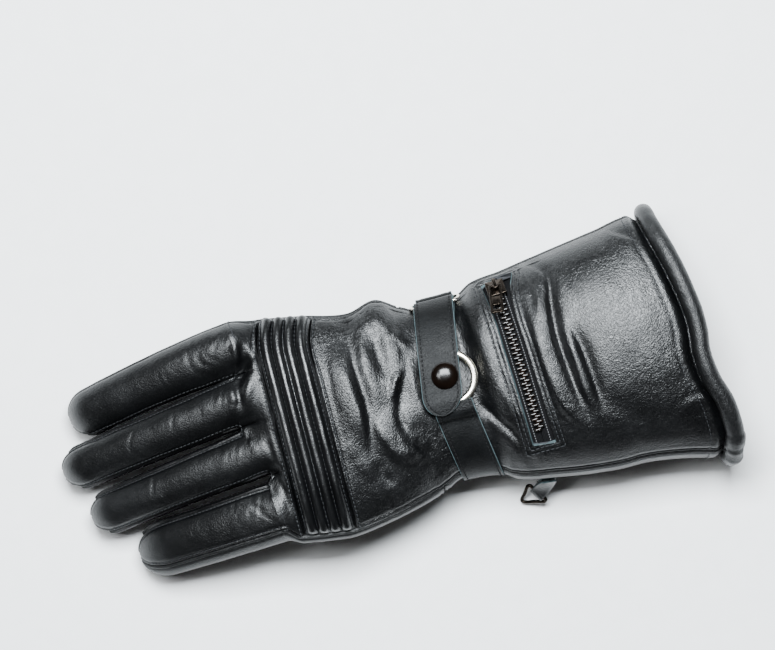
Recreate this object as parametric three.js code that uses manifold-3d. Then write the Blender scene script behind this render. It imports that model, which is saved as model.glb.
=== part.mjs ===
// A left-hand leather gauntlet glove for riding, lying palm down with its thumb tucked under the palm.
// Millimetres, +Z up, the floor at z = 0, +X from the fingertips to the cuff's mouth, +Y to the thumb side.
import * as THREE from 'three';
import { mergeVertices } from 'three/addons/utils/BufferGeometryUtils.js';
import Module from 'manifold-3d';

const wasm = await Module();
wasm.setup();

// Driving dimensions
const wall = 2.4; // leather with its lining
const seamGap = 0.3; // between two sewn panels
const sectionPower = 2.3; // of the body's rounded section
const fingerPower = 2.2;
const littleSeam = 22; // degrees up from the little-finger edge to the side seam
const thumbSeam = 172; // degrees round to the side seam by the thumb

// The body from the knuckles to the mouth: its outline from above and from the side
const bodyStations = [
  { x: -72, yLow: -53.5, yHigh: 61.0, zLow: 22.0, zHigh: 55.0 },
  { x: -50, yLow: -57.0, yHigh: 57.5, zLow: 21.0, zHigh: 57.0 },
  { x: -38, yLow: -58.0, yHigh: 55.3, zLow: 20.0, zHigh: 57.0 },
  { x: -16, yLow: -54.7, yHigh: 50.7, zLow: 14.0, zHigh: 55.5 },
  { x: -1, yLow: -51.3, yHigh: 53.9, zLow: 9.0, zHigh: 55.0 },
  { x: 9, yLow: -48.0, yHigh: 48.6, zLow: 6.0, zHigh: 50.9 },
  { x: 20, yLow: -43.2, yHigh: 43.0, zLow: 4.5, zHigh: 50.2 },
  { x: 32, yLow: -43.4, yHigh: 42.4, zLow: 3.6, zHigh: 50.2 },
  { x: 40, yLow: -46.4, yHigh: 46.0, zLow: 1.6, zHigh: 51.0 },
  { x: 48, yLow: -51.2, yHigh: 50.4, zLow: 0.0, zHigh: 55.2 },
  { x: 63, yLow: -54.4, yHigh: 52.3, zLow: -2.0, zHigh: 60.0 },
  { x: 93, yLow: -58.4, yHigh: 57.0, zLow: -3.0, zHigh: 63.0 },
  { x: 114, yLow: -59.0, yHigh: 60.3, zLow: -3.0, zHigh: 64.0 },
  { x: 134, yLow: -62.3, yHigh: 63.6, zLow: -3.0, zHigh: 63.5 },
  { x: 154, yLow: -68.0, yHigh: 62.0, zLow: -2.0, zHigh: 61.0 },
];

// Folds pressed into the body: a line from one end to the other, how wide and how high it stands
const bodyFolds = [
  { x0: 1, y0: 38, x1: -1, y1: 11, width: 4.2, height: -2.6 },
  { x0: -15, y0: 28, x1: -6, y1: 0, width: 4.2, height: 1.7 },
  { x0: -17.5, y0: 30, x1: -18.5, y1: -16, width: 3.2, height: -1.8 },
  { x0: -7.6, y0: -17, x1: -8, y1: -28, width: 7.0, height: 1.3 },
  { x0: 8, y0: 17, x1: 8, y1: -14, width: 3.4, height: 1.6 },
  { x0: 46, y0: 28, x1: 46.5, y1: -20, width: 5.5, height: 1.7 },
  { x0: 42, y0: -20, x1: 50, y1: -32, width: 3.2, height: -1.4 },
  { x0: 79, y0: 50, x1: 82, y1: 28, width: 3.2, height: -2.8 },
  { x0: 81.5, y0: 22, x1: 83, y1: -20, width: 3.0, height: -2.2 },
  { x0: 75.5, y0: 24, x1: 78, y1: -20, width: 3.4, height: 1.4 },
  { x0: 89, y0: 14, x1: 93, y1: -24, width: 3.0, height: 1.6 },
  { x0: 95, y0: 12, x1: 97, y1: -28, width: 3.0, height: -1.8 },
  { x0: 109, y0: 24, x1: 116, y1: 4, width: 16.0, height: 1.5 },
  { x0: 106, y0: -3, x1: 124, y1: -20, width: 4.0, height: -1.1 },
  { x0: 122, y0: 57, x1: 141, y1: 46, width: 2.6, height: -1.2 },
];

// Each finger: where its axis starts and ends from above, its half sizes and where its seams run
const fingers = [
  {
    name: 'index', base: [-74, 47.9], tip: [-164.2, 32.6], bow: 1.6, halfWidth: [13.7, 11.5], zBase: 40,
    zTip: 10.4, lowSeam: 20, highSeam: 170,
  },
  {
    name: 'middle', base: [-74, 22.0], tip: [-174.0, 7.9], bow: 0.2, halfWidth: [12.9, 10.9], zBase: 41,
    zTip: 10.2, lowSeam: 27, highSeam: 160,
  },
  {
    name: 'ring', base: [-74, -4.7], tip: [-165.9, -17.3], bow: 0.3, halfWidth: [12.9, 10.9], zBase: 40,
    zTip: 10.0, lowSeam: 30, highSeam: 153,
  },
  {
    name: 'little', base: [-74, -36.2], tip: [-147.4, -41.2], bow: 0, halfWidth: [15.6, 14.0], zBase: 38,
    zTip: 9.8, lowSeam: 55, highSeam: 150,
  },
];
const fingerHalfHeight = 10.8;
const knuckleSwell = 3.6; // more half height at a finger's root
const knuckleReach = 16;
const palmSeamAngle = 30; // degrees below a finger's side to the seam with the palm
const webPlan = [
  { x: -71, y: 61.2 },
  { x: -77.2, y: 34.4 },
  { x: -80.9, y: 9.0 },
  { x: -71.6, y: -17.8 },
  { x: -70, y: -52.5 },
]; // the forks between the fingers, with the two outer edges
const webRound = 2.8; // how soon a fork's walls part

const ribEdge = -63.4;
const ribPanelEnd = -37.6;
const ribCount = 4;
const ribHeight = 2.8;
const palmEnd = 10; // where the palm meets the gauntlet

const hemRadius = 4.8;
const hemGroove = 1.6;
const hemLine = [
  { angle: 0, x: 152.5 }, { angle: 27, x: 155 }, { angle: 36, x: 156.4 }, { angle: 47, x: 156.4 },
  { angle: 60, x: 155.2 }, { angle: 72, x: 151.3 }, { angle: 84, x: 150 }, { angle: 91, x: 151.1 },
  { angle: 97, x: 151 }, { angle: 106, x: 149.7 }, { angle: 121, x: 147 }, { angle: 137, x: 143.8 },
  { angle: 155, x: 141.3 }, { angle: 180, x: 140.4 }, { angle: 225, x: 142 }, { angle: 270, x: 145.5 },
  { angle: 315, x: 149.8 }, { angle: 360, x: 152.5 },
];

const radians = THREE.MathUtils.degToRad;
const clamp = THREE.MathUtils.clamp;
const lerp = THREE.MathUtils.lerp;
const smooth = THREE.MathUtils.smoothstep;

// A smooth curve through a table's rows: the column's value at that key
function sample(rows, key, at, column) {
  const last = rows.length - 1;
  const value = clamp(at, rows[0][key], rows[last][key]);
  let i = 0;
  while (i < last - 1 && value > rows[i + 1][key]) i++;
  const slope = (n) => {
    const before = rows[Math.max(n - 1, 0)];
    const after = rows[Math.min(n + 1, last)];
    return (after[column] - before[column]) / (after[key] - before[key]);
  };
  const span = rows[i + 1][key] - rows[i][key];
  const t = (value - rows[i][key]) / span;
  const rise = rows[i + 1][column] - rows[i][column];
  const [m0, m1] = [slope(i) * span, slope(i + 1) * span];
  return rows[i][column] + t * m0 + t * t * (3 * rise - 2 * m0 - m1) + t * t * t * (m0 + m1 - 2 * rise);
}

const signedPower = (value, power) => Math.sign(value) * Math.abs(value) ** power;

// How far the folds lift the body's leather at a place seen from above
function foldHeight(x, y) {
  let height = 0;
  for (const fold of bodyFolds) {
    const [dx, dy] = [fold.x1 - fold.x0, fold.y1 - fold.y0];
    const t = clamp(((x - fold.x0) * dx + (y - fold.y0) * dy) / (dx * dx + dy * dy), 0, 1);
    const away = Math.hypot(x - fold.x0 - t * dx, y - fold.y0 - t * dy);
    height += fold.height * Math.exp(-((away / fold.width) ** 2));
  }
  return height;
}

// A point of the body's section at x. The angle runs from the little-finger edge over the top at 90;
// the depth is measured into the leather from its outer face
function bodyPoint(x, angle, depth = 0) {
  const at = (column) => sample(bodyStations, 'x', x, column);
  const [yLow, yHigh, zLow, zHigh] = [at('yLow'), at('yHigh'), at('zLow'), at('zHigh')];
  const [c, s] = [Math.cos(radians(angle)), Math.sin(radians(angle))];
  const power = 2 / sectionPower;
  const y0 = (yLow + yHigh) / 2 - ((yHigh - yLow) / 2) * signedPower(c, power);
  const lift = s > 0 ? foldHeight(x, y0) * smooth(s, 0.05, 0.5) : 0;
  const inward = depth - lift;
  const y = (yLow + yHigh) / 2 - ((yHigh - yLow) / 2 - inward) * signedPower(c, power);
  const z = (zLow + zHigh) / 2 + ((zHigh - zLow) / 2 - inward) * signedPower(s, power);
  const floor = 3.8 * smooth(x, 128, 146);
  return new THREE.Vector3(x, y, Math.max(z, floor + depth));
}

// The body's angle whose outer face lies at that y
function bodyAngle(x, y, under = false) {
  const at = (column) => sample(bodyStations, 'x', x, column);
  const middle = (at('yLow') + at('yHigh')) / 2;
  const half = (at('yHigh') - at('yLow')) / 2;
  const c = signedPower(clamp((middle - y) / half, -1, 1), sectionPower / 2);
  const angle = THREE.MathUtils.radToDeg(Math.acos(c));
  return under ? 360 - angle : angle;
}

// The knuckle edge of the ribbed panel bends towards the cuff by the thumb
const edgeBend = (angle) => 4.2 * smooth(angle, 128, 172) * smooth(-angle, -240, -172);

// The axis of a finger at a distance from its root
function fingerAxis(finger, along) {
  const [dx, dy] = [finger.tip[0] - finger.base[0], finger.tip[1] - finger.base[1]];
  const length = Math.hypot(dx, dy);
  const t = along / length;
  const bow = finger.bow * 4 * t * (1 - t);
  const drop = clamp(t, 0, 1) ** 1.6;
  return {
    x: finger.base[0] + dx * t,
    y: finger.base[1] + dy * t + bow,
    z: lerp(finger.zBase, finger.zTip, drop),
    across: [dy / length, -dx / length],
    length,
  };
}

// A point on a finger's round section, its tip closed like half an egg
function tubePoint(finger, along, angle, depth) {
  const length = fingerAxis(finger, 0).length;
  const [wide, narrow] = finger.halfWidth;
  const tipRound = narrow * 1.12;
  const half = fingerHalfHeight + knuckleSwell * Math.exp(-along / knuckleReach);
  const reach = clamp(along, 0, length - depth);
  const past = clamp((reach - (length - tipRound)) / (tipRound - depth), 0, 1);
  const close = Math.max(1 - past ** fingerPower, 0) ** (1 / fingerPower);
  const axis = fingerAxis(finger, reach);
  const a = (lerp(wide, narrow, clamp(reach / length, 0, 1)) - depth) * close;
  const b = (half - depth) * close;
  const [c, s] = [Math.cos(radians(angle)), Math.sin(radians(angle))];
  const out = -a * signedPower(c, 2 / fingerPower);
  const part = Math.sign(s - 1e-9) * (seamGap / 2) * (1 - close);
  const z = Math.max(axis.z + b * signedPower(s, 2 / fingerPower) + part, depth);
  return new THREE.Vector3(axis.x + axis.across[0] * out, axis.y + axis.across[1] * out, z);
}

// How far along a finger's axis the fork on that side lies
function forkAlong(finger, fork) {
  const axis = fingerAxis(finger, 0);
  const [ux, uy] = [-axis.across[1], axis.across[0]];
  return (fork.x - finger.base[0]) * ux + (fork.y - finger.base[1]) * uy;
}

// A point in the fork between two fingers, where their side walls meet in one upright line
function forkPoint(number, angle, depth) {
  const fork = webPlan[number];
  const near = fingers.slice(Math.max(number - 1, 0), number + 1);
  const mean = (value) => near.reduce((sum, finger) => sum + value(finger), 0) / near.length;
  const s = signedPower(Math.sin(radians(angle)), 2 / fingerPower);
  const half = fingerHalfHeight + knuckleSwell - depth;
  return new THREE.Vector3(
    fork.x + depth * 0.985, fork.y + depth * 0.15, mean((finger) => finger.zBase) + half * s - 0.6,
  );
}

// A finger's leather at a share of the way from its root to its tip
function fingerPoint(number, share, angle, depth) {
  const finger = fingers[number];
  const turn = ((angle % 360) + 360) % 360;
  const [high, low] = [webPlan[number], webPlan[number + 1]];
  const side = (1 - Math.cos(radians(turn))) / 2; // 0 at the little-finger side, 1 at the thumb side
  const start = lerp(forkAlong(finger, low), forkAlong(finger, high), side);
  const along = lerp(start, fingerAxis(finger, 0).length, share);
  const tube = tubePoint(finger, along, turn, depth);
  const parting = clamp((along - start) / webRound, 0, 1);
  const open = Math.sqrt(1 - (1 - parting) ** 2);
  const [isLow, isHigh] = [number < 3, number > 0];
  const fromLow = turn > 180 ? 360 - turn : turn;
  const fromHigh = Math.abs(180 - turn);
  const pull = (away, seam) => 1 - smooth(away, seam + 2, seam + 26);
  const upper = turn <= 180;
  const lowPull = isLow ? pull(fromLow, upper ? finger.lowSeam : palmSeamAngle) : 0;
  const highPull = isHigh ? pull(fromHigh, upper ? 180 - finger.highSeam : palmSeamAngle) : 0;
  const forkNumber = lowPull > highPull ? number + 1 : number;
  const weight = Math.max(lowPull, highPull) * (1 - open);
  return weight > 0 ? tube.lerp(forkPoint(forkNumber, turn, depth), weight) : tube;
}

// A solid from patches of leather: each patch is rows of places, each with its outer and its inner point
function thicken(patches) {
  const [outer, inner, faces] = [[], [], []];
  const known = new Map();
  const place = ([out, into]) => {
    const key = out.toArray().map((value) => Math.round(value * 500)).join();
    if (!known.has(key)) {
      known.set(key, outer.length);
      outer.push(out);
      inner.push(into);
    }
    return known.get(key);
  };
  for (const rows of patches) {
    const indices = rows.map((row) => row.map(place));
    for (let i = 0; i + 1 < rows.length; i++) {
      for (let j = 0; j + 1 < rows[i].length; j++) {
        const [a, b] = [indices[i][j], indices[i + 1][j]];
        const [d, c] = [indices[i][j + 1], indices[i + 1][j + 1]];
        for (const face of [[a, b, c], [a, c, d]]) if (new Set(face).size === 3) faces.push(face);
      }
    }
  }
  const edges = new Map();
  for (const [a, b, c] of faces) {
    for (const [from, to] of [[a, b], [b, c], [c, a]]) {
      if (edges.has(`${to} ${from}`)) edges.delete(`${to} ${from}`);
      else edges.set(`${from} ${to}`, [from, to]);
    }
  }
  const count = outer.length;
  const index = faces.flatMap(([a, b, c]) => [a, b, c, c + count, b + count, a + count]);
  for (const [from, to] of edges.values()) {
    index.push(to, from, from + count, to, from + count, to + count);
  }
  const geometry = new THREE.BufferGeometry();
  geometry.setFromPoints([...outer, ...inner]);
  geometry.setIndex(index);
  return geometry;
}

// Rows of places over a range of two parameters, each with its outer and inner point
function patch(alongs, acrosses, point, depths = [0, wall]) {
  return alongs.map((s) => acrosses.map((t) => depths.map((depth) => point(s, t, depth))));
}

const steps = (from, to, count) => Array.from({ length: count + 1 }, (_, i) => lerp(from, to, i / count));

// manifold-3d joins and cuts closed meshes
function toSolid(geometry) {
  const bare = new THREE.BufferGeometry().setAttribute('position', geometry.getAttribute('position'));
  if (geometry.index) bare.setIndex(geometry.index);
  const merged = mergeVertices(bare, 1e-4);
  const made = () => new wasm.Manifold(new wasm.Mesh({
    numProp: 3,
    vertProperties: Float32Array.from(merged.attributes.position.array),
    triVerts: Uint32Array.from(merged.index.array),
  }));
  const solid = made();
  if (solid.volume() > 0) return solid;
  const order = merged.index.array;
  for (let i = 0; i < order.length; i += 3) [order[i], order[i + 1]] = [order[i + 1], order[i]];
  return made();
}

function toGeometry(solid) {
  const { numProp, vertProperties, triVerts } = solid.getMesh();
  const points = [];
  for (let i = 0; i < vertProperties.length; i += numProp) {
    points.push(new THREE.Vector3(vertProperties[i], vertProperties[i + 1], vertProperties[i + 2]));
  }
  return new THREE.BufferGeometry().setFromPoints(points).setIndex([...triVerts]);
}

// A closed tube of sections: each row of points is one ring, and both ends are closed by a fan
function closedTube(rings) {
  const points = rings.flat();
  const around = rings[0].length;
  const index = [];
  for (let i = 0; i + 1 < rings.length; i++) {
    for (let j = 0; j < around; j++) {
      const [a, b] = [i * around + j, i * around + ((j + 1) % around)];
      index.push(a, a + around, b + around, a, b + around, b);
    }
  }
  const fan = (start, flip) => {
    const centre = points.length;
    const middle = new THREE.Vector3();
    for (let j = 0; j < around; j++) middle.addScaledVector(points[start + j], 1 / around);
    points.push(middle);
    for (let j = 0; j < around; j++) {
      const [a, b] = [start + j, start + ((j + 1) % around)];
      index.push(centre, flip ? b : a, flip ? a : b);
    }
  };
  fan(0, false);
  fan((rings.length - 1) * around, true);
  return new THREE.BufferGeometry().setFromPoints(points).setIndex(index);
}

const glove = new THREE.Group();

const leather = { color: 0x0b0b0c, roughness: 0.42, metalness: 0 };
const blackMetal = { color: 0x1a1512, roughness: 0.25, metalness: 0.9 };
const nickel = { color: 0xc9c2ae, roughness: 0.22, metalness: 1 };
const blackPlastic = { color: 0x0d0b0b, roughness: 0.3, metalness: 0 };
const webbing = { color: 0x0a0a0a, roughness: 0.9, metalness: 0 };

function addPiece(name, geometry, look) {
  const facingOut = toGeometry(toSolid(geometry));
  const mesh = new THREE.Mesh(facingOut, new THREE.MeshStandardMaterial(look));
  mesh.name = name;
  glove.add(mesh);
}

// Hand: the back, the palm and the walls between the fingers
const fingerShares = [0, 0.015, 0.04, 0.2, 0.42, 0.64, 0.82, 0.9, 0.96, 1];
const seamInset = THREE.MathUtils.radToDeg(seamGap / 2 / 11) * 1.2;

// The knuckle patch runs from the body's edge to the root of a finger
function knucklePoint(number, share, t, anglesBody, anglesFinger, depth) {
  const bodyTurn = lerp(anglesBody[0], anglesBody[1], t);
  const from = bodyPoint(ribEdge + edgeBend(bodyTurn), bodyTurn, depth);
  const to = fingerPoint(number, 0, lerp(anglesFinger[0], anglesFinger[1], t), depth);
  const reach = from.distanceTo(to);
  const m0 = new THREE.Vector3(-reach, 0, 0);
  const m1 = new THREE.Vector3(-0.98, -0.14, -0.1).multiplyScalar(reach);
  const [s2, s3] = [share * share, share * share * share];
  return from.clone().multiplyScalar(2 * s3 - 3 * s2 + 1)
    .addScaledVector(m0, s3 - 2 * s2 + share)
    .addScaledVector(to, 3 * s2 - 2 * s3)
    .addScaledVector(m1, s3 - s2);
}

// The x of the body's rows, shared by the panels that meet along a side seam
const bodyRows = [
  -37.6, -28, -22, -17, -11, -4, 1, 10, 17, 21, 25, 29, 33, 39, 45, 52, 60, 68, 73, 77.5, 82, 86, 91,
  96, 108, 124,
];

const forkLines = webPlan.map((fork) => fork.y).slice(1, 4);
const insetTurn = THREE.MathUtils.radToDeg(seamGap / 2 / 30);

// One side of the hand: strips from the body's edge over the knuckles to each fingertip
function handStrips(under) {
  const edges = forkLines.map((y) => bodyAngle(ribEdge, y, under));
  const turns = under
    ? [thumbSeam + insetTurn, ...edges, 360 + littleSeam - insetTurn]
    : [thumbSeam - insetTurn, ...edges, littleSeam + insetTurn];
  return fingers.flatMap((finger, number) => {
    const inset = seamInset;
    const across = under
      ? [number ? 180 + palmSeamAngle + inset : finger.highSeam + inset,
        number < 3 ? 360 - palmSeamAngle - inset : 360 + finger.lowSeam - inset]
      : [finger.highSeam - inset, finger.lowSeam + inset];
    const body = [turns[number], turns[number + 1]];
    const ts = steps(0, 1, under && number % 3 === 0 ? 6 : 4);
    const root = (s, t, depth) => knucklePoint(number, s, t, body, across, depth);
    const rest = (s, t, depth) => fingerPoint(number, s, lerp(across[0], across[1], t), depth);
    const strips = [patch(steps(0, 1, 3), ts, root), patch(fingerShares, ts, rest)];
    if (under) {
      const plain = (x, t, depth) => {
        const turn = lerp(body[0], body[1], t);
        return bodyPoint(x + edgeBend(turn) * smooth(-x, -palmEnd, -ribPanelEnd), turn, depth);
      };
      const rows = [ribEdge, ...bodyRows.filter((x) => x < palmEnd), palmEnd - seamGap];
      strips.push(patch(rows.reverse(), ts, plain));
    }
    return strips;
  });
}

// The wall between two fingers: from one tip to the fork and out to the next tip
function fourchette(number) {
  const [first, second] = [fingers[number - 1], fingers[number]];
  const shares = fingerShares.filter((share) => share < 0.95);
  const wallRows = (finger, index, from, to, order) => order.map((share) => {
    const taper = 1 - 0.86 * smooth(share, 0.72, 0.94);
    const top = from * taper - 2.8 * seamInset;
    const bottom = to * taper - 2.8 * seamInset;
    return steps(-bottom, top, 3).map((turn) => {
      const angle = index === number - 1 ? turn : 180 - turn;
      return [0, wall].map((depth) => fingerPoint(index, share, angle, depth));
    });
  });
  const rows = [
    ...wallRows(first, number - 1, first.lowSeam, palmSeamAngle, [...shares].reverse()),
    ...wallRows(second, number, 180 - second.highSeam, palmSeamAngle, shares.slice(1)),
  ];
  return thicken([rows]);
}

// The body's volume, grown by a little, for cutting what must stay outside it
function bodySolid(fromX, toX, grow) {
  return toSolid(closedTube(steps(fromX, toX, 16).map((x) => (
    steps(0, 345, 23).map((angle) => bodyPoint(x, angle, -grow)))
  )));
}

// Thumb: a bent tube that leaves the palm and lies under it
const thumbPath = new THREE.CatmullRomCurve3([
  new THREE.Vector3(8, 31, 34), new THREE.Vector3(-10, 33, 22), new THREE.Vector3(-30, 31, 12.5),
  new THREE.Vector3(-52, 27, 10.2), new THREE.Vector3(-72, 22, 10.2), new THREE.Vector3(-90, 17, 10),
]);
const thumbHalf = { width: [16.5, 12.6], height: [11.5, 9.8] };

function thumbSolid(depth) {
  const length = thumbPath.getLength();
  const reach = length - depth;
  const tipRound = 13.5;
  const marks = [0, 0.09, 0.18, 0.27, 0.36, 0.46, 0.56, 0.66, 0.76, 0.85, 0.91, 0.955, 0.985, 0.998];
  return toSolid(closedTube(marks.map((mark) => {
    const along = mark * reach;
    const at = thumbPath.getPointAt(along / length);
    const way = thumbPath.getTangentAt(along / length);
    const side = new THREE.Vector3(0, 0, 1).cross(way).normalize();
    const up = way.clone().cross(side);
    const past = clamp((along - (length - tipRound)) / (tipRound - depth), 0, 1);
    const close = Math.sqrt(1 - past * past);
    const a = (lerp(...thumbHalf.width, clamp(mark * 2, 0, 1)) - depth) * close;
    const b = (lerp(...thumbHalf.height, clamp(mark * 2, 0, 1)) - depth) * close;
    return steps(0, 324, 9).map((angle) => {
      const [c, s] = [Math.cos(radians(angle)), Math.sin(radians(angle))];
      const point = at.clone().addScaledVector(side, a * c).addScaledVector(up, b * s);
      point.z = Math.max(point.z, depth);
      return point;
    });
  })));
}

const thumbInner = thumbSolid(wall);
addPiece('hand_back', thicken(handStrips(false)), leather);
addPiece('hand_palm', toGeometry(toSolid(thicken(handStrips(true))).subtract(thumbInner)), leather);
addPiece('thumb', toGeometry(
  thumbSolid(0).subtract(thumbInner).subtract(bodySolid(-100, 30, 2.5 * seamGap)),
), leather);
for (const number of [1, 2, 3]) {
  const name = `fourchette_${fingers[number - 1].name}_${fingers[number].name}`;
  addPiece(name, fourchette(number), leather);
}

// Ribbed knuckle panel: padded channels side by side across the back of the hand
function ribPoint(share, angle, depth) {
  const span = ribPanelEnd - ribEdge - 2 * seamGap;
  const margin = 0.05;
  const channel = clamp((share - margin) / (1 - 2 * margin), 0, 1) * ribCount;
  const ends = smooth(angle, littleSeam, littleSeam + 9) * smooth(-angle, -thumbSeam, -thumbSeam + 9);
  const crest = Math.abs(Math.sin(channel * Math.PI)) ** 0.6 * ends * ribHeight;
  const x = ribEdge + seamGap + share * span + edgeBend(angle);
  return bodyPoint(x, angle, depth > 0 ? depth : -crest);
}
const ribShares = [0, 0.05];
for (let rib = 0; rib < ribCount; rib++) {
  for (const part of [0.18, 0.5, 0.82, 1]) ribShares.push(0.05 + (0.9 * (rib + part)) / ribCount);
}
ribShares.push(1);
const topTurns = (count) => steps(littleSeam + insetTurn, thumbSeam - insetTurn, count);
addPiece('rib_panel', thicken([patch(ribShares, topTurns(10), ribPoint)]), leather);

// Gauntlet: one panel over the back from the ribs to the mouth, one under the palm side
const hemX = (angle) => sample(hemLine, 'angle', ((angle % 360) + 360) % 360, 'x');
const gauntletEnd = 999; // stands for the row at the hem
function gauntletPoint(x, angle, depth) {
  if (x === gauntletEnd) return bodyPoint(hemX(angle) - hemRadius - hemGroove, angle, depth);
  return bodyPoint(x + edgeBend(angle) * (1 - smooth(x, ribPanelEnd, -palmEnd)), angle, depth);
}
const gauntletRows = (from) => [from, ...bodyRows.filter((x) => x > from), gauntletEnd];
const gauntletBack = thicken([patch(gauntletRows(ribPanelEnd), topTurns(14), gauntletPoint)]);
const zipSlot = new THREE.Shape([
  [57.4, -36.6], [69.0, -36.2], [67.4, -10], [66.2, 14], [65.3, 26], [65.4, 37], [66.6, 44], [68.6, 49],
  [66.5, 53.5], [56, 53.4], [52.2, 50], [52.8, 44], [54.4, 30], [55.2, 17], [56.4, -8],
].map(([x, y]) => new THREE.Vector2(x, y)));
const slotFloor = 41; // the slot goes through the top of the gauntlet only
const slotCutter = new THREE.ExtrudeGeometry(zipSlot, { depth: 50, bevelEnabled: false });
slotCutter.translate(0, 0, slotFloor);
addPiece('gauntlet_back', toGeometry(toSolid(gauntletBack).subtract(toSolid(slotCutter))), leather);
const underTurns = steps(thumbSeam + insetTurn, 360 + littleSeam - insetTurn, 12);
addPiece('gauntlet_palm', thicken([patch(gauntletRows(palmEnd), underTurns, gauntletPoint)]), leather);

// Hem binding: a padded roll round the mouth
function hemEdge(angle) {
  const edge = bodyPoint(hemX(angle), angle, 1);
  edge.z = Math.max(edge.z, hemRadius + 0.1);
  return edge;
}
const hemPath = new THREE.CatmullRomCurve3(steps(0, 350, 35).map(hemEdge), true);
addPiece('hem_binding', wire(hemPath, hemRadius, 36, 8), leather);

// A round wire along a closed path
function wire(path, radius, count, around) {
  return new THREE.TubeGeometry(path, count, radius, around, true);
}

// Wrist strap: places on the wrist by their arc length from the middle of its top, towards the thumb side
const strapX = 28;
const arcTable = [];
for (let angle = -60, arc = 0; angle <= 250; angle += 2) {
  if (angle > -60) arc += bodyPoint(strapX, angle - 2).distanceTo(bodyPoint(strapX, angle));
  arcTable.push({ angle, arc });
}
const topArc = arcTable.find((row) => row.angle === 90).arc;
for (const row of arcTable) row.arc -= topArc;
const arcOf = (angle) => sample(arcTable, 'angle', angle, 'arc');
const angleOf = (arc) => sample(arcTable, 'arc', arc, 'angle');
const arcAtY = (y) => arcOf(bodyAngle(strapX, y));

// A strap lying on the wrist: a path of arc and height, its middle's x and its half width at each step
function strapOnWrist(path, middleX, halfWidth, thickness, columns = 3) {
  const rows = path.map(([arc, height], i) => {
    const before = path[Math.max(i - 1, 0)];
    const after = path[Math.min(i + 1, path.length - 1)];
    const way = new THREE.Vector2(after[0] - before[0], after[1] - before[1]).normalize();
    const half = halfWidth(arc, i);
    return steps(-half, half, columns).map((aside) => [thickness / 2, -thickness / 2].map((up) => {
      const angle = angleOf(arc - way.y * up);
      return bodyPoint(middleX(arc) + aside, angle, -(height + way.x * up));
    }));
  });
  return thicken([rows]);
}

const strapThick = 1.6;
const layerLow = 0.6 + strapThick / 2; // height of a strap's middle where it lies on the wrist
const layerHigh = layerLow + strapThick + 1.8; // and where the ring lies under it
const layerTop = layerHigh + strapThick + 0.3;
const barRadius = 0.9;
const turnGap = 0.47; // between a bar and the leather round it
const turnRadius = barRadius + turnGap + strapThick / 2;

// A turn round a bar: the arc and height of its middle, and the way it opens
function turnRound(barArc, barHeight, direction, count = 8) {
  return steps(-90, 90, count).map((turn) => [
    barArc + direction * turnRadius * Math.cos(radians(turn)),
    barHeight + turnRadius * Math.sin(radians(turn)),
  ]);
}
const loopArc = arcOf(163); // the bar that the strap turns round
const keeperArc = loopArc + 6.6;
const barHeight = layerLow + turnRadius;
const run = (from, to, count, height) => steps(from, to, count).map((arc) => [arc, height(arc)]);
const ringMiddle = { x: 25.6, y: 6.8 };
const ringOuter = 13.9;
const ringWire = 1.25;
const ringLift = 2.1;
const tongueEnd = arcAtY(-9.2);
const tongueHeight = (arc) => {
  const byLoop = smooth(arc, loopArc - 20, loopArc - 3);
  const byTip = 1 - smooth(arc, arcAtY(-3.2), arcAtY(1.5));
  return layerHigh + byLoop * (barHeight + turnRadius - layerHigh) + byTip * (layerTop - layerHigh);
};
const tonguePath = [
  ...run(arcAtY(ringMiddle.y + ringOuter) + 1.2, loopArc - 2, 5, () => layerLow),
  ...turnRound(loopArc, barHeight, 1),
  ...run(loopArc - 2, arcAtY(4), 7, tongueHeight),
  ...run(arcAtY(1.4), tongueEnd + 5, 4, tongueHeight),
  ...[3.4, 2, 0.9, 0.2].map((left) => [tongueEnd + left, tongueHeight(tongueEnd + left)]),
];
const strapHalf = 10.1;
const tongueX = (arc) => 20.2 + 0.165 * arc;
const tongueHalf = (arc, i) => {
  const left = clamp((arc - tongueEnd) / 9.5, 0, 1);
  return i < 16 ? strapHalf : strapHalf * Math.sqrt(1 - (1 - left) ** 2);
};
addPiece('strap_tongue', strapOnWrist(tonguePath, tongueX, tongueHalf, strapThick), leather);

const lowerStart = arcAtY(-4.6);
const lowerHeight = (arc) => lerp(layerLow, layerHigh, smooth(arc, lowerStart - 9.5, lowerStart - 5));
const lowerPath = [
  ...run(lowerStart, lowerStart - 10, 5, lowerHeight), ...run(lowerStart - 15, arcOf(-26), 8, lowerHeight),
];
const lowerX = (arc) => 22.8 + 8.4 * smooth(lowerStart - arc, -18, 60);
addPiece('strap_lower', strapOnWrist(lowerPath, lowerX, () => strapHalf, strapThick), leather);

const keeperPath = [
  ...run(arcOf(236), keeperArc + 2, 5, () => layerLow),
  ...turnRound(keeperArc, barHeight, -1),
  ...run(keeperArc + 3, arcOf(236), 5, (arc) => (
    lerp(barHeight + turnRadius, layerLow + strapThick + 0.3, smooth(arc, keeperArc + 2, keeperArc + 10))
  )),
];
const loopX = tongueX(loopArc) + 0.6;
const keeperHalf = 9.4;
addPiece('loop_keeper', strapOnWrist(keeperPath, () => loopX, () => keeperHalf, strapThick), leather);

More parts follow.
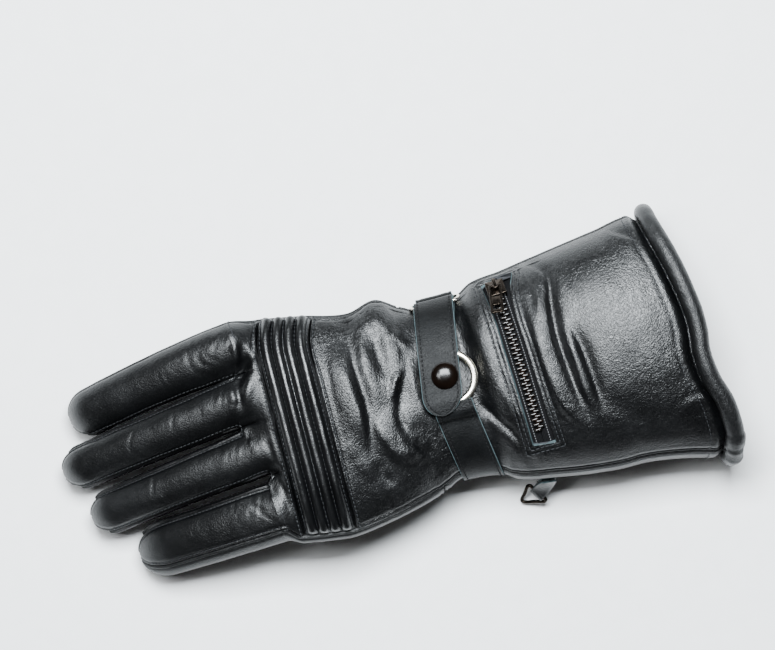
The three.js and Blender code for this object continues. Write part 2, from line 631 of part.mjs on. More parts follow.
// Metal rings of the strap
const frameOn = (x, y, lean = 0) => {
  const angle = bodyAngle(x, y);
  const along = bodyPoint(x, angle + 1).sub(bodyPoint(x, angle - 1)).normalize();
  const side = new THREE.Vector3(1, 0, 0);
  const out = side.clone().cross(along).normalize();
  side.applyAxisAngle(out, radians(lean));
  along.applyAxisAngle(out, radians(lean));
  return { at: bodyPoint(x, angle), along, side, out };
};
const place = (geometry, { at, along, side, out }, lift) => geometry
  .applyMatrix4(new THREE.Matrix4().makeBasis(side, along, out))
  .translate(...at.clone().addScaledVector(out, lift));
const ring = new THREE.TorusGeometry(ringOuter - ringWire, ringWire, 6, 24).scale(1, 1, 0.75);
addPiece('strap_ring', place(ring, frameOn(ringMiddle.x, ringMiddle.y), ringLift), nickel);

const loopWay = loopX + strapHalf + barRadius + 0.9;
const loopBend = 1.6;
const loopSide = [
  [loopWay - loopBend, loopArc], [loopWay, loopArc + loopBend],
  [loopWay, keeperArc - loopBend], [loopWay - loopBend, keeperArc],
];
const barMiddle = [6, 0, -6];
const loopOutline = [
  ...loopSide, ...barMiddle.map((x) => [loopX + x, keeperArc]),
  ...loopSide.map(([x, arc]) => [2 * loopX - x, arc]).reverse(),
  ...barMiddle.map((x) => [loopX - x, loopArc]),
];
const loopPath = new THREE.CatmullRomCurve3(loopOutline.map(([x, arc]) => (
  bodyPoint(x, angleOf(arc), -barHeight)
)), true, 'centripetal');
addPiece('strap_loop', wire(loopPath, barRadius, 32, 6), nickel);

// Snap cap on the tongue, over the ring's middle
const snapProfile = [[0, 3.1], [2.6, 2.95], [4.6, 2.4], [6.1, 1.5], [6.75, 0.6], [6.3, 0], [0, 0]];
const snap = new THREE.LatheGeometry(snapProfile.map(([r, h]) => new THREE.Vector2(r, h)), 16);
const snapLift = tongueHeight(arcAtY(8.3)) + strapThick / 2 + 0.4;
addPiece('snap_cap', place(snap.rotateX(Math.PI / 2), frameOn(23.8, 8.3), snapLift), blackMetal);

// Zip: two tapes under the slot, a row of teeth on each, the slider and its pull
const zipX = (angle) => lerp(63.3, 59.2, (angle - 50) / 100);
const tapeWidth = 7.2;
const tapeOuter = wall + 0.6;
const tapeThick = 0.8;
const toothPitch = 2.9;
const toothReach = { outer: 3, inner: 0.2, zigzag: 0.75 };
const zipTurns = topTurns(14).slice(2, 14);
for (const [side, sign] of [['wrist', -1], ['mouth', 1]]) {
  const tape = (share, angle, depth) => (
    bodyPoint(zipX(angle) + sign * (seamGap / 2 + share * tapeWidth), angle, depth)
  );
  const rows = patch(steps(0, 1, 3), zipTurns, tape, [tapeOuter, tapeOuter + tapeThick]);
  addPiece(`zip_tape_${side}`, thicken([rows]), webbing);
  const turns = [];
  for (let y = -35; y <= 46; y += toothPitch / 2) turns.push(bodyAngle(60, y));
  const tooth = (share, i, depth) => {
    const edge = (i % 2 ? 1 : -1) * toothReach.zigzag + sign * toothReach.inner;
    return bodyPoint(zipX(turns[i]) + lerp(sign * toothReach.outer, edge, share), turns[i], depth);
  };
  const chain = turns.map((_, i) => (
    [0, 1].map((share) => [0.5, tapeOuter - seamGap].map((depth) => tooth(share, i, depth)))
  ));
  addPiece(`zip_teeth_${side}`, thicken([chain]), blackPlastic);
}

// Slider over the teeth, with a bridge that holds the pull's bar
const box = (width, length, height, x, y, z) => (
  new THREE.BoxGeometry(width, length, height).translate(x, y, z + height / 2)
);
const sliderPlace = [zipX(150), 44];
const sliderFrame = frameOn(...sliderPlace, 3);
const pullFrame = frameOn(...sliderPlace, -7.5);
const plate = { width: 9.2, length: 9.6, low: 0.3, high: 1.4 };
const bridge = { width: 2, reach: 3.2, leg: 0.9, high: 2.5 };
const barLift = plate.high + 1.1;
const sliderSolid = [
  box(plate.width, plate.length, plate.high - plate.low, 0, 0, plate.low),
  box(0.8, plate.length, 2.4, plate.width / 2 - 0.4, 0, plate.low - 2.2),
  box(0.8, plate.length, 2.4, 0.4 - plate.width / 2, 0, plate.low - 2.2),
  box(bridge.width, bridge.leg, bridge.high + 0.3, 0, bridge.reach - bridge.leg / 2, plate.high - 0.1),
  box(bridge.width, bridge.leg, bridge.high + 0.3, 0, bridge.leg / 2 - bridge.reach, plate.high - 0.1),
  box(bridge.width, 2 * bridge.reach, bridge.leg, 0, 0, plate.high + bridge.high),
].map(toSolid).reduce((sum, part) => sum.add(part));
addPiece('zip_slider', place(toGeometry(sliderSolid), sliderFrame, 0), blackMetal);

const pull = { half: 3.2, barHalf: 0.65, end: -18, corner: 1, thick: 1.3 };
const outlineOf = (points) => points.map(([x, y]) => new THREE.Vector2(x, y));
const rectangle = (half, y0, y1) => outlineOf([[-half, y0], [half, y0], [half, y1], [-half, y1]]);
const pullShape = new THREE.Shape(outlineOf([
  [pull.half, pull.barHalf], [-pull.half, pull.barHalf], [-pull.half, pull.end + pull.corner],
  [pull.corner - pull.half, pull.end], [pull.half - pull.corner, pull.end],
  [pull.half, pull.end + pull.corner],
]));
pullShape.holes.push(new THREE.Path(rectangle(2, -7.6, -pull.barHalf)));
pullShape.holes.push(new THREE.Path(rectangle(1.9, -16.1, -12.9)));
const pullPlate = new THREE.ExtrudeGeometry(pullShape, { depth: pull.thick, bevelEnabled: false });
pullPlate.translate(0, 0, barLift - pull.thick / 2);
addPiece('zip_pull', place(pullPlate, pullFrame, 0), blackMetal);

// Clip at the little-finger side: a leather tab folded round a three-cornered wire loop
const loopRadius = 0.95;
const tabThick = 1.2;
const tabHalf = 3.7;
const clipStart = new THREE.Vector3(51.4, -55.2, 9.4);
const clipEnd = new THREE.Vector3(58.6, -66.0, 8.4);
const clipTip = new THREE.Vector3(45.4, -63.2, 1.8);
const tabEnd = clipStart.clone().lerp(clipEnd, 0.5);
const tabLine = new THREE.CubicBezierCurve3(
  new THREE.Vector3(61.6, -55.25, 25), new THREE.Vector3(60.6, -56.2, 16),
  new THREE.Vector3(57.8, -58.6, 12), tabEnd,
);
const tabSpread = loopRadius + 0.3 + tabThick / 2;
const tabRoot = new THREE.Vector3(1, -0.1, 0); // the way the tab lies at the gauntlet
const tabFoot = clipEnd.clone().sub(clipStart).normalize(); // and along the loop's base
const layer = (t, side) => {
  const cross = tabRoot.clone().lerp(tabFoot, t).normalize();
  const way = tabLine.getTangent(t);
  const normal = way.clone().cross(cross).normalize();
  const spread = lerp(tabThick / 2 + 0.15, tabSpread, t * t);
  return { at: tabLine.getPoint(t).addScaledVector(normal, side * spread), cross, way, normal };
};
const lastLayer = layer(1, 0);
const tabRows = [
  ...steps(0, 0.92, 6).map((t) => layer(t, 1)),
  ...steps(90, -90, 6).map((turn) => ({
    cross: lastLayer.cross,
    at: tabEnd.clone().addScaledVector(lastLayer.way, tabSpread * Math.cos(radians(turn)))
      .addScaledVector(lastLayer.normal, tabSpread * Math.sin(radians(turn))),
  })),
  ...steps(0.92, 0, 6).map((t) => layer(t, -1)),
];
const tabSolid = thicken([tabRows.map(({ at, cross }, i) => {
  const next = tabRows[Math.min(i + 1, tabRows.length - 1)].at;
  const way = next.clone().sub(tabRows[Math.max(i - 1, 0)].at);
  const normal = way.cross(cross).normalize();
  return [-tabHalf, tabHalf].map((aside) => [0.5, -0.5].map((up) => (
    at.clone().addScaledVector(cross, aside).addScaledVector(normal, up * tabThick)
  )));
})]);
addPiece('clip_tab', tabSolid, leather);
const clipCorners = [clipStart, clipEnd, clipTip].flatMap((corner, i, all) => {
  const [before, after] = [all[(i + 2) % 3], all[(i + 1) % 3]];
  const marks = [[before, 0.12], [after, 0.12], [after, 0.5]];
  return marks.map(([other, share]) => corner.clone().lerp(other, share));
});
const clipPath = new THREE.CatmullRomCurve3(clipCorners, true, 'centripetal');
addPiece('clip_loop', wire(clipPath, loopRadius, 21, 6), blackMetal);

// The origin is the middle of the glove's box, on the floor
const centre = new THREE.Box3().setFromObject(glove).getCenter(new THREE.Vector3());
glove.position.set(-centre.x, -centre.y, 0);
export default glove;
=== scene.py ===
import math
import bpy
import numpy as np
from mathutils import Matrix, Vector


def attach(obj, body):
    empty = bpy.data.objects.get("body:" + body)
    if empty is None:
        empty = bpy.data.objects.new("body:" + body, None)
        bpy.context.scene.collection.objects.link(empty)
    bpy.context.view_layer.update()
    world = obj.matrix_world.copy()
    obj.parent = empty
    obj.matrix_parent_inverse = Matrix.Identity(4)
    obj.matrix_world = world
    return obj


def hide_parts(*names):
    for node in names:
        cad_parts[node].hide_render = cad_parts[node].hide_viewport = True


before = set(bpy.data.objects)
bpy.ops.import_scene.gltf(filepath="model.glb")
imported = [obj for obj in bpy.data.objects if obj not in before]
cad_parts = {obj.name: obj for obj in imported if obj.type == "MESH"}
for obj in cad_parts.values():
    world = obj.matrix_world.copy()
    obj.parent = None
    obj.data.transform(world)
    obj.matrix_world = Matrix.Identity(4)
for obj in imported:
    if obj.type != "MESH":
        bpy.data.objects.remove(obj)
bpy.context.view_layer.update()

# A left-hand leather riding gauntlet, palm down. The layout is in millimetres: x to the cuff, y to
# the thumb's side.
glove = {
    "shift": (6.3376541, 2.1107216, 0.0),  # from the layout to the model's frame
    "wall": 2.4,
    "seamGap": 0.3,
    "littleSeam": 22,  # degrees up from the little-finger edge
    "thumbSeam": 172,
    "sectionPower": 2.3,
    "fingerPower": 2.2,
    "palmSeam": 30,  # degrees under a finger's side
    "seamInset": 0.3,  # degrees
}
backSeams = (glove["littleSeam"] + glove["seamInset"], glove["thumbSeam"] - glove["seamInset"])
palmSeams = (glove["thumbSeam"] + glove["seamInset"], 360 + glove["littleSeam"] - glove["seamInset"])


# Helpers for arrays
def smooth(value, low, high):  # 0 below low, 1 above high, an S curve between
    t = np.clip((value - low) / (high - low), 0, 1)
    return t * t * (3 - 2 * t)


def signedPower(value, power):
    return np.sign(value) * np.abs(value) ** power


def mix(a, b, t):
    return a + (b - a) * t


def unit(vectors):
    return vectors / np.maximum(np.linalg.norm(vectors, axis=-1, keepdims=True), 1e-9)


def curve(table, key, column, at):
    # a cubic between each two rows of the table, whose slope at a row is the slope between its neighbours
    k, v = np.array(table[key], float), np.array(table[column], float)
    slope = np.empty_like(v)
    slope[1:-1] = (v[2:] - v[:-2]) / (k[2:] - k[:-2])
    slope[0], slope[-1] = (v[1] - v[0]) / (k[1] - k[0]), (v[-1] - v[-2]) / (k[-1] - k[-2])
    at = np.clip(at, k[0], k[-1])
    i = np.clip(np.searchsorted(k, at) - 1, 0, len(k) - 2)
    span = k[i + 1] - k[i]
    t, rise = (at - k[i]) / span, v[i + 1] - v[i]
    m0, m1 = slope[i] * span, slope[i + 1] * span
    return v[i] + t * m0 + t * t * (3 * rise - 2 * m0 - m1) + t ** 3 * (m0 + m1 - 2 * rise)


def spread(length, coarse, fine, low, high):
    # shares of a length, with fine steps within low of its start and high of its end
    middle = max(length - low - high, coarse)
    t = np.concatenate([np.arange(0, low, fine), low + np.linspace(0, middle, int(middle / coarse) + 2)[:-1],
                        np.linspace(length - high, length, int(high / fine) + 1)]) / length
    return (t - t[0]) / (t[-1] - t[0])


def bells(value, rows):  # the sum of bells of a value; each row is a height, a middle and a width
    return sum(height * np.exp(-(((value - middle) / width) ** 2)) for height, middle, width in rows)


lattice = np.random.default_rng(11).uniform(-1, 1, (128, 128))


def ripple(x, y, cellX, cellY, seed):
    # heights between -1 and 1 at the corners of a lattice of cells, joined by S curves
    u, v = x / cellX + 37.3 + 11 * seed, y / cellY + 51.7 + 7 * seed
    i, j = np.floor(u).astype(int), np.floor(v).astype(int)
    s, t = smooth(u - i, 0, 1), smooth(v - j, 0, 1)
    near, far = (mix(lattice[i % 128, row % 128], lattice[(i + 1) % 128, row % 128], s) for row in (j, j + 1))
    return mix(near, far, t)


# The body from the knuckles to the mouth
bodyForm = {
    "x": [-72, -50, -38, -16, -1, 9, 20, 32, 40, 48, 63, 93, 114, 134, 154],
    "yLow": [-53.5, -57, -58, -54.7, -51.3, -48, -43.2, -43.4, -46.4, -51.2, -54.4, -58.4, -59, -62.3, -68],
    "yHigh": [61, 57.5, 55.3, 50.7, 53.9, 48.6, 43, 42.4, 46, 50.4, 52.3, 57, 60.3, 63.6, 62],
    "zLow": [22, 21, 20, 14, 9, 6, 4.5, 3.6, 1.6, 0, -2, -3, -3, -3, -2],
    "zHigh": [55, 57, 57, 55.5, 55, 50.9, 50.2, 50.2, 51, 55.2, 60, 63, 64, 63.5, 61],
    "ribEdge": -63.4,
    "ribEnd": -37.6,
    "palmEnd": 10,
    "mouthLift": 3.8,  # of the underside, where the hem's roll carries it
    "liftRun": (128, 146),
    "bend": 4.2,  # of the ribbed panel's edges towards the cuff by the thumb
    "bendFrom": 128,  # degrees
    "bendTo": 240,
}


def bodyPoint(x, angle, depth=0.0):
    # a rounded rectangle's section at x: half a width times cos to the power 2/2.3, half a height times sin
    x, angle = np.broadcast_arrays(np.asarray(x, float), np.asarray(angle, float))
    yLow, yHigh, zLow, zHigh = (curve(bodyForm, "x", c, x) for c in ("yLow", "yHigh", "zLow", "zHigh"))
    c, s = np.cos(np.radians(angle)), np.sin(np.radians(angle))
    power = 2 / glove["sectionPower"]
    y = (yLow + yHigh) / 2 - ((yHigh - yLow) / 2 - depth) * signedPower(c, power)
    z = (zLow + zHigh) / 2 + ((zHigh - zLow) / 2 - depth) * signedPower(s, power)
    floor = bodyForm["mouthLift"] * smooth(x, *bodyForm["liftRun"])
    return np.stack([x, y, np.maximum(z, floor + depth)], -1)


def bodyAngle(x, y, under=False):  # the section's angle at which its face lies at that y
    low, high = curve(bodyForm, "x", "yLow", x), curve(bodyForm, "x", "yHigh", x)
    c = np.clip(((low + high) / 2 - y) / ((high - low) / 2), -1, 1)
    angle = np.degrees(np.arccos(signedPower(c, glove["sectionPower"] / 2)))
    return 360 - angle if under else angle


def edgeBend(angle):
    seam = glove["thumbSeam"]
    rise, fall = smooth(angle, bodyForm["bendFrom"], seam), smooth(-angle, -bodyForm["bendTo"], -seam)
    return bodyForm["bend"] * rise * fall


# The fingers: from above where each axis starts and ends, its half widths and where its seams run
fingers = [
    {"name": "index", "base": (-74, 47.9), "tip": (-164.2, 32.6), "bow": 1.6, "half": (13.7, 11.5),
     "z": (40, 10.4), "lowSeam": 20, "highSeam": 170},
    {"name": "middle", "base": (-74, 22), "tip": (-174, 7.9), "bow": 0.2, "half": (12.9, 10.9),
     "z": (41, 10.2), "lowSeam": 27, "highSeam": 160},
    {"name": "ring", "base": (-74, -4.7), "tip": (-165.9, -17.3), "bow": 0.3, "half": (12.9, 10.9),
     "z": (40, 10), "lowSeam": 30, "highSeam": 153},
    {"name": "little", "base": (-74, -36.2), "tip": (-147.4, -41.2), "bow": 0, "half": (15.6, 14),
     "z": (38, 9.8), "lowSeam": 55, "highSeam": 150},
]
knuckle = {
    "halfHeight": 10.8,
    "swell": 3.6,  # how much higher it is at the root
    "reach": 16,  # along which that fades
    "webRound": 2.8,  # along which a side wall leaves the fork's line
    "tipRound": 1.12,  # half widths
    "forkPull": (2, 26),  # the degrees from a seam between which the fork's pull fades
    "forkWay": (0.985, 0.15),  # where a fork's line goes inside the wall
    "forkDrop": 0.6,
    "ways": [(-1.0, 0, 0), (-0.98, -0.14, -0.1)],  # in which a strip leaves the panel and meets a finger
}
forks = [(-71, 61.2), (-77.2, 34.4), (-80.9, 9), (-71.6, -17.8), (-70, -52.5)]


def fingerRun(finger):  # how far it goes along x and along y, and its length
    dx, dy = (tip - base for tip, base in zip(finger["tip"], finger["base"]))
    return dx, dy, math.hypot(dx, dy)


def fingerAxis(finger, along):
    # a straight line seen from above with a slight bow, which sinks to the tip as its share to the power 1.6
    dx, dy, length = fingerRun(finger)
    t = along / length
    z = mix(*finger["z"], np.clip(t, 0, 1) ** 1.6)
    y = finger["base"][1] + dy * t + finger["bow"] * 4 * t * (1 - t)
    return finger["base"][0] + dx * t, y, z, (dy / length, -dx / length)


def tubePoint(finger, along, angle, depth):
    # a superellipse round the finger's axis, closed at the tip by a quarter of one
    power, length = glove["fingerPower"], fingerRun(finger)[2]
    wide, narrow = finger["half"]
    tipRound = narrow * knuckle["tipRound"]
    half = knuckle["halfHeight"] + knuckle["swell"] * np.exp(-along / knuckle["reach"])
    reach = np.clip(along, 0, length - depth)
    past = np.clip((reach - (length - tipRound)) / (tipRound - depth), 0, 1)
    close = np.maximum(1 - past ** power, 0) ** (1 / power)
    x, y, z, across = fingerAxis(finger, reach)
    a = (mix(wide, narrow, np.clip(reach / length, 0, 1)) - depth) * close
    c, s = np.cos(np.radians(angle)), np.sin(np.radians(angle))
    out = -a * signedPower(c, 2 / power)
    lift = (half - depth) * close * signedPower(s, 2 / power)
    return np.stack([x + across[0] * out, y + across[1] * out, np.maximum(z + lift, depth)], -1)


def forkAlong(finger, fork):  # how far along a finger's axis the fork beside it lies
    dx, dy, length = fingerRun(finger)
    return ((fork[0] - finger["base"][0]) * dx + (fork[1] - finger["base"][1]) * dy) / length


def forkPoint(number, angle, depth):  # the upright line in which two fingers' side walls meet
    near = fingers[max(number - 1, 0): number + 1]
    s = signedPower(np.sin(np.radians(angle)), 2 / glove["fingerPower"])
    half = knuckle["halfHeight"] + knuckle["swell"] - depth
    z = np.mean([f["z"][0] for f in near]) + half * s - knuckle["forkDrop"]
    x, y = (at + depth * way for at, way in zip(forks[number], knuckle["forkWay"]))
    return np.stack([np.full_like(z, x), np.full_like(z, y), z], -1)


def fingerPoint(number, share, angle, depth=0.0):
    # the finger's tube, drawn to the forks beside it where the share is near 0
    share, angle = np.broadcast_arrays(np.asarray(share, float), np.asarray(angle, float))
    finger, turn = fingers[number], angle % 360
    side = (1 - np.cos(np.radians(turn))) / 2
    start = mix(forkAlong(finger, forks[number + 1]), forkAlong(finger, forks[number]), side)
    along = mix(start, fingerRun(finger)[2], share)
    tube = tubePoint(finger, along, turn, depth)
    parting = np.clip((along - start) / knuckle["webRound"], 0, 1)
    opening = np.sqrt(1 - (1 - parting) ** 2)
    fromLow, fromHigh = np.where(turn > 180, 360 - turn, turn), np.abs(180 - turn)
    upper, palmSeam = turn <= 180, glove["palmSeam"]
    lowAt = np.where(upper, finger["lowSeam"], palmSeam)
    highAt = np.where(upper, 180 - finger["highSeam"], palmSeam)
    lowPull = (1 - smooth(fromLow - lowAt, *knuckle["forkPull"])) * (number < 3)
    highPull = (1 - smooth(fromHigh - highAt, *knuckle["forkPull"])) * (number > 0)
    target = np.where((lowPull > highPull)[..., None], forkPoint(min(number + 1, 4), turn, depth),
                      forkPoint(number, turn, depth))
    weight = (np.maximum(lowPull, highPull) * (1 - opening))[..., None]
    return mix(tube, target, weight)


def knucklePoint(number, share, t, anglesBody, anglesFinger, depth=0.0):
    # a cubic from the ribbed panel's edge to the finger's root, level where it starts
    share, t = np.broadcast_arrays(np.asarray(share, float), np.asarray(t, float))
    turn = mix(*anglesBody, t)
    start = bodyPoint(bodyForm["ribEdge"] + edgeBend(turn), turn, depth)
    end = fingerPoint(number, np.zeros_like(t), mix(*anglesFinger, t), depth)
    reach = np.linalg.norm(end - start, axis=-1, keepdims=True)
    m0, m1 = (reach * np.array(way) for way in knuckle["ways"])
    s = share[..., None]
    return (start * (2 * s ** 3 - 3 * s ** 2 + 1) + m0 * (s ** 3 - 2 * s ** 2 + s)
            + end * (3 * s ** 2 - 2 * s ** 3) + m1 * (s ** 3 - s ** 2))


print("layout ready")


# Meshes from grids of points
def facing(grid, inside):  # whether a grid's cells turn towards its inner side
    rows, columns = grid[1:, :-1] - grid[:-1, :-1], grid[:-1, 1:] - grid[:-1, :-1]
    return (np.cross(rows, columns) * (grid - inside)[:-1, :-1]).sum() < 0


def halves(a, b, c, d):  # two triangles for each cell, from its corners in turn
    return np.concatenate([np.stack(corners, -1).reshape(-1, 3) for corners in ((a, b, c), (a, c, d))])


def mergeClose(points, faces, size):  # points that coincide become one, and a face that loses a side goes
    _, first, index = np.unique(np.round(points / size).astype(np.int64), axis=0, return_index=True,
                                return_inverse=True)
    faces = index.reshape(-1)[faces]
    return points[first], faces[(faces != np.roll(faces, 1, 1)).all(1)]


def weld(grids):
    faces, start = [], 0
    for grid in grids:
        i = start + np.arange(grid.shape[0] * grid.shape[1]).reshape(grid.shape[:2])
        faces.append(halves(i[:-1, :-1], i[1:, :-1], i[1:, 1:], i[:-1, 1:]))
        start += i.size
    return mergeClose(np.concatenate([g.reshape(-1, 3) for g in grids]), np.concatenate(faces), 0.004)


def normalsOf(points, faces):  # the mean of the faces round a point, larger faces counting more
    a, b, c = points[faces.T]
    cross, total = np.cross(b - a, c - a), np.zeros_like(points)
    for corner in range(3):
        for axis in range(3):
            total[:, axis] += np.bincount(faces[:, corner], cross[:, axis], len(points))
    return unit(total)


def outward(points, faces):  # a closed shape's faces, turned round if they enclose less than nothing
    a, b, c = points[faces.T]
    return faces[:, ::-1] if (np.cross(a, b) * c).sum() < 0 else faces


def borders(faces, count):  # edges that only one face has
    edges = np.concatenate([faces[:, [0, 1]], faces[:, [1, 2]], faces[:, [2, 0]]])
    code, back = edges[:, 0] * count + edges[:, 1], edges[:, 1] * count + edges[:, 0]
    return edges[~np.isin(code, back)]


def distanceTo(points, starts, ends):  # from each point to the nearest of the line pieces
    best = np.full(len(points), 1e3)
    if not len(starts):
        return best
    way = ends - starts
    length2 = (way ** 2).sum(1) + 1e-12
    for i in range(0, len(points), 3000):
        p = points[i:i + 3000]
        dot = p @ way.T - (starts * way).sum(1)
        square = (p ** 2).sum(1)[:, None] - 2 * p @ starts.T + (starts ** 2).sum(1)
        t = np.clip(dot / length2, 0, 1)
        best[i:i + 3000] = np.sqrt(np.maximum((square - 2 * t * dot + t * t * length2).min(1), 0))
    return best


def makeMesh(name, points, faces, looks, slots=None, sharp=50):
    mesh = bpy.data.meshes.new(name)
    place = (points + np.array(glove["shift"])) / 1000
    mesh.vertices.add(len(place))
    mesh.vertices.foreach_set("co", place.ravel())
    mesh.loops.add(faces.size)
    mesh.loops.foreach_set("vertex_index", faces.ravel())
    mesh.polygons.add(len(faces))
    mesh.polygons.foreach_set("loop_start", np.arange(0, faces.size, 3))
    for look in looks:
        mesh.materials.append(look)
    if slots is not None:
        mesh.polygons.foreach_set("material_index", slots)
    mesh.polygons.foreach_set("use_smooth", np.ones(len(faces), bool))
    mesh.update(calc_edges=True)
    mesh.set_sharp_from_angle(angle=math.radians(sharp))
    return addObject(name, mesh)


def addObject(name, data):
    made = bpy.data.objects.new(name, data)
    bpy.context.scene.collection.objects.link(made)
    return made


def settle(piece, part, body="glove"):  # rides its body and stands for its part
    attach(piece, body)
    if part:
        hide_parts(part)
    return piece


def gridMesh(name, part, grids, looks, loopRows=False, columnLooks=None, sharp=60):
    # grids of one size as one piece: their columns close on themselves, their rows too or by fans at the ends
    grids = np.asarray(grids, float)
    count, n, m = grids.shape[:3]
    points, i = grids.reshape(count, -1, 3), np.arange(n * m).reshape(n, m)
    a, b = (i, np.roll(i, -1, 0)) if loopRows else (i[:-1], i[1:])
    c, d = np.roll(b, -1, 1), np.roll(a, -1, 1)
    faces = halves(a, b, c, d)
    if not loopRows:
        points = np.concatenate([points, grids[:, :1].mean(2), grids[:, -1:].mean(2)], 1)
        fans = (np.full(m, n * m), i[0], d[0]), (np.full(m, n * m + 1), c[-1], i[-1])
        faces = np.concatenate([faces, *(np.stack(fan, -1) for fan in fans)])
    whole = outward(points[0], faces) + (np.arange(count) * points.shape[1])[:, None, None]
    slots = None if columnLooks is None else np.append(np.tile(columnLooks, 2 * n - 2), np.ones(2 * m, int))
    piece = makeMesh(name, points.reshape(-1, 3), whole.reshape(-1, 3), looks, slots, sharp)
    return settle(piece, part)


def sweep(centres, sides, ups, outline):  # an outline of (side, up) carried along a path
    return [centres[:, None] + sides[:, None] * outline[:, :1] + ups[:, None] * outline[:, 1:]]


def circle(radius, count):
    turn = np.arange(count) * 2 * math.pi / count
    return np.stack([radius * np.cos(turn), radius * np.sin(turn)], -1)


def wire(path, radius):  # a round section carried along a closed path that lies roughly level
    way = unit(np.roll(path, -1, 0) - np.roll(path, 1, 0))
    side = unit(np.cross([0.12, 0.07, 1.0], way))
    return sweep(path, side, np.cross(way, side), circle(radius, 14))


def resample(points, step, closed=False, columns=3):
    # places at even distances along a path of points, on cubics through them
    points = np.asarray(points, float)
    if closed:
        points = np.concatenate([points[-2:], points, points[:3]])
    gap = np.linalg.norm(np.diff(points[:, :columns], axis=0), axis=1)
    table = {"s": np.concatenate([[0], np.cumsum(gap)]), **dict(enumerate(points.T))}
    start, end = (table["s"][2], table["s"][-3]) if closed else (0, table["s"][-1])
    count = max(int(round((end - start) / step)), 2)
    at = np.linspace(start, end, count + 1)[: -1 if closed else None]
    return np.stack([curve(table, "s", k, at) for k in range(points.shape[1])], -1)


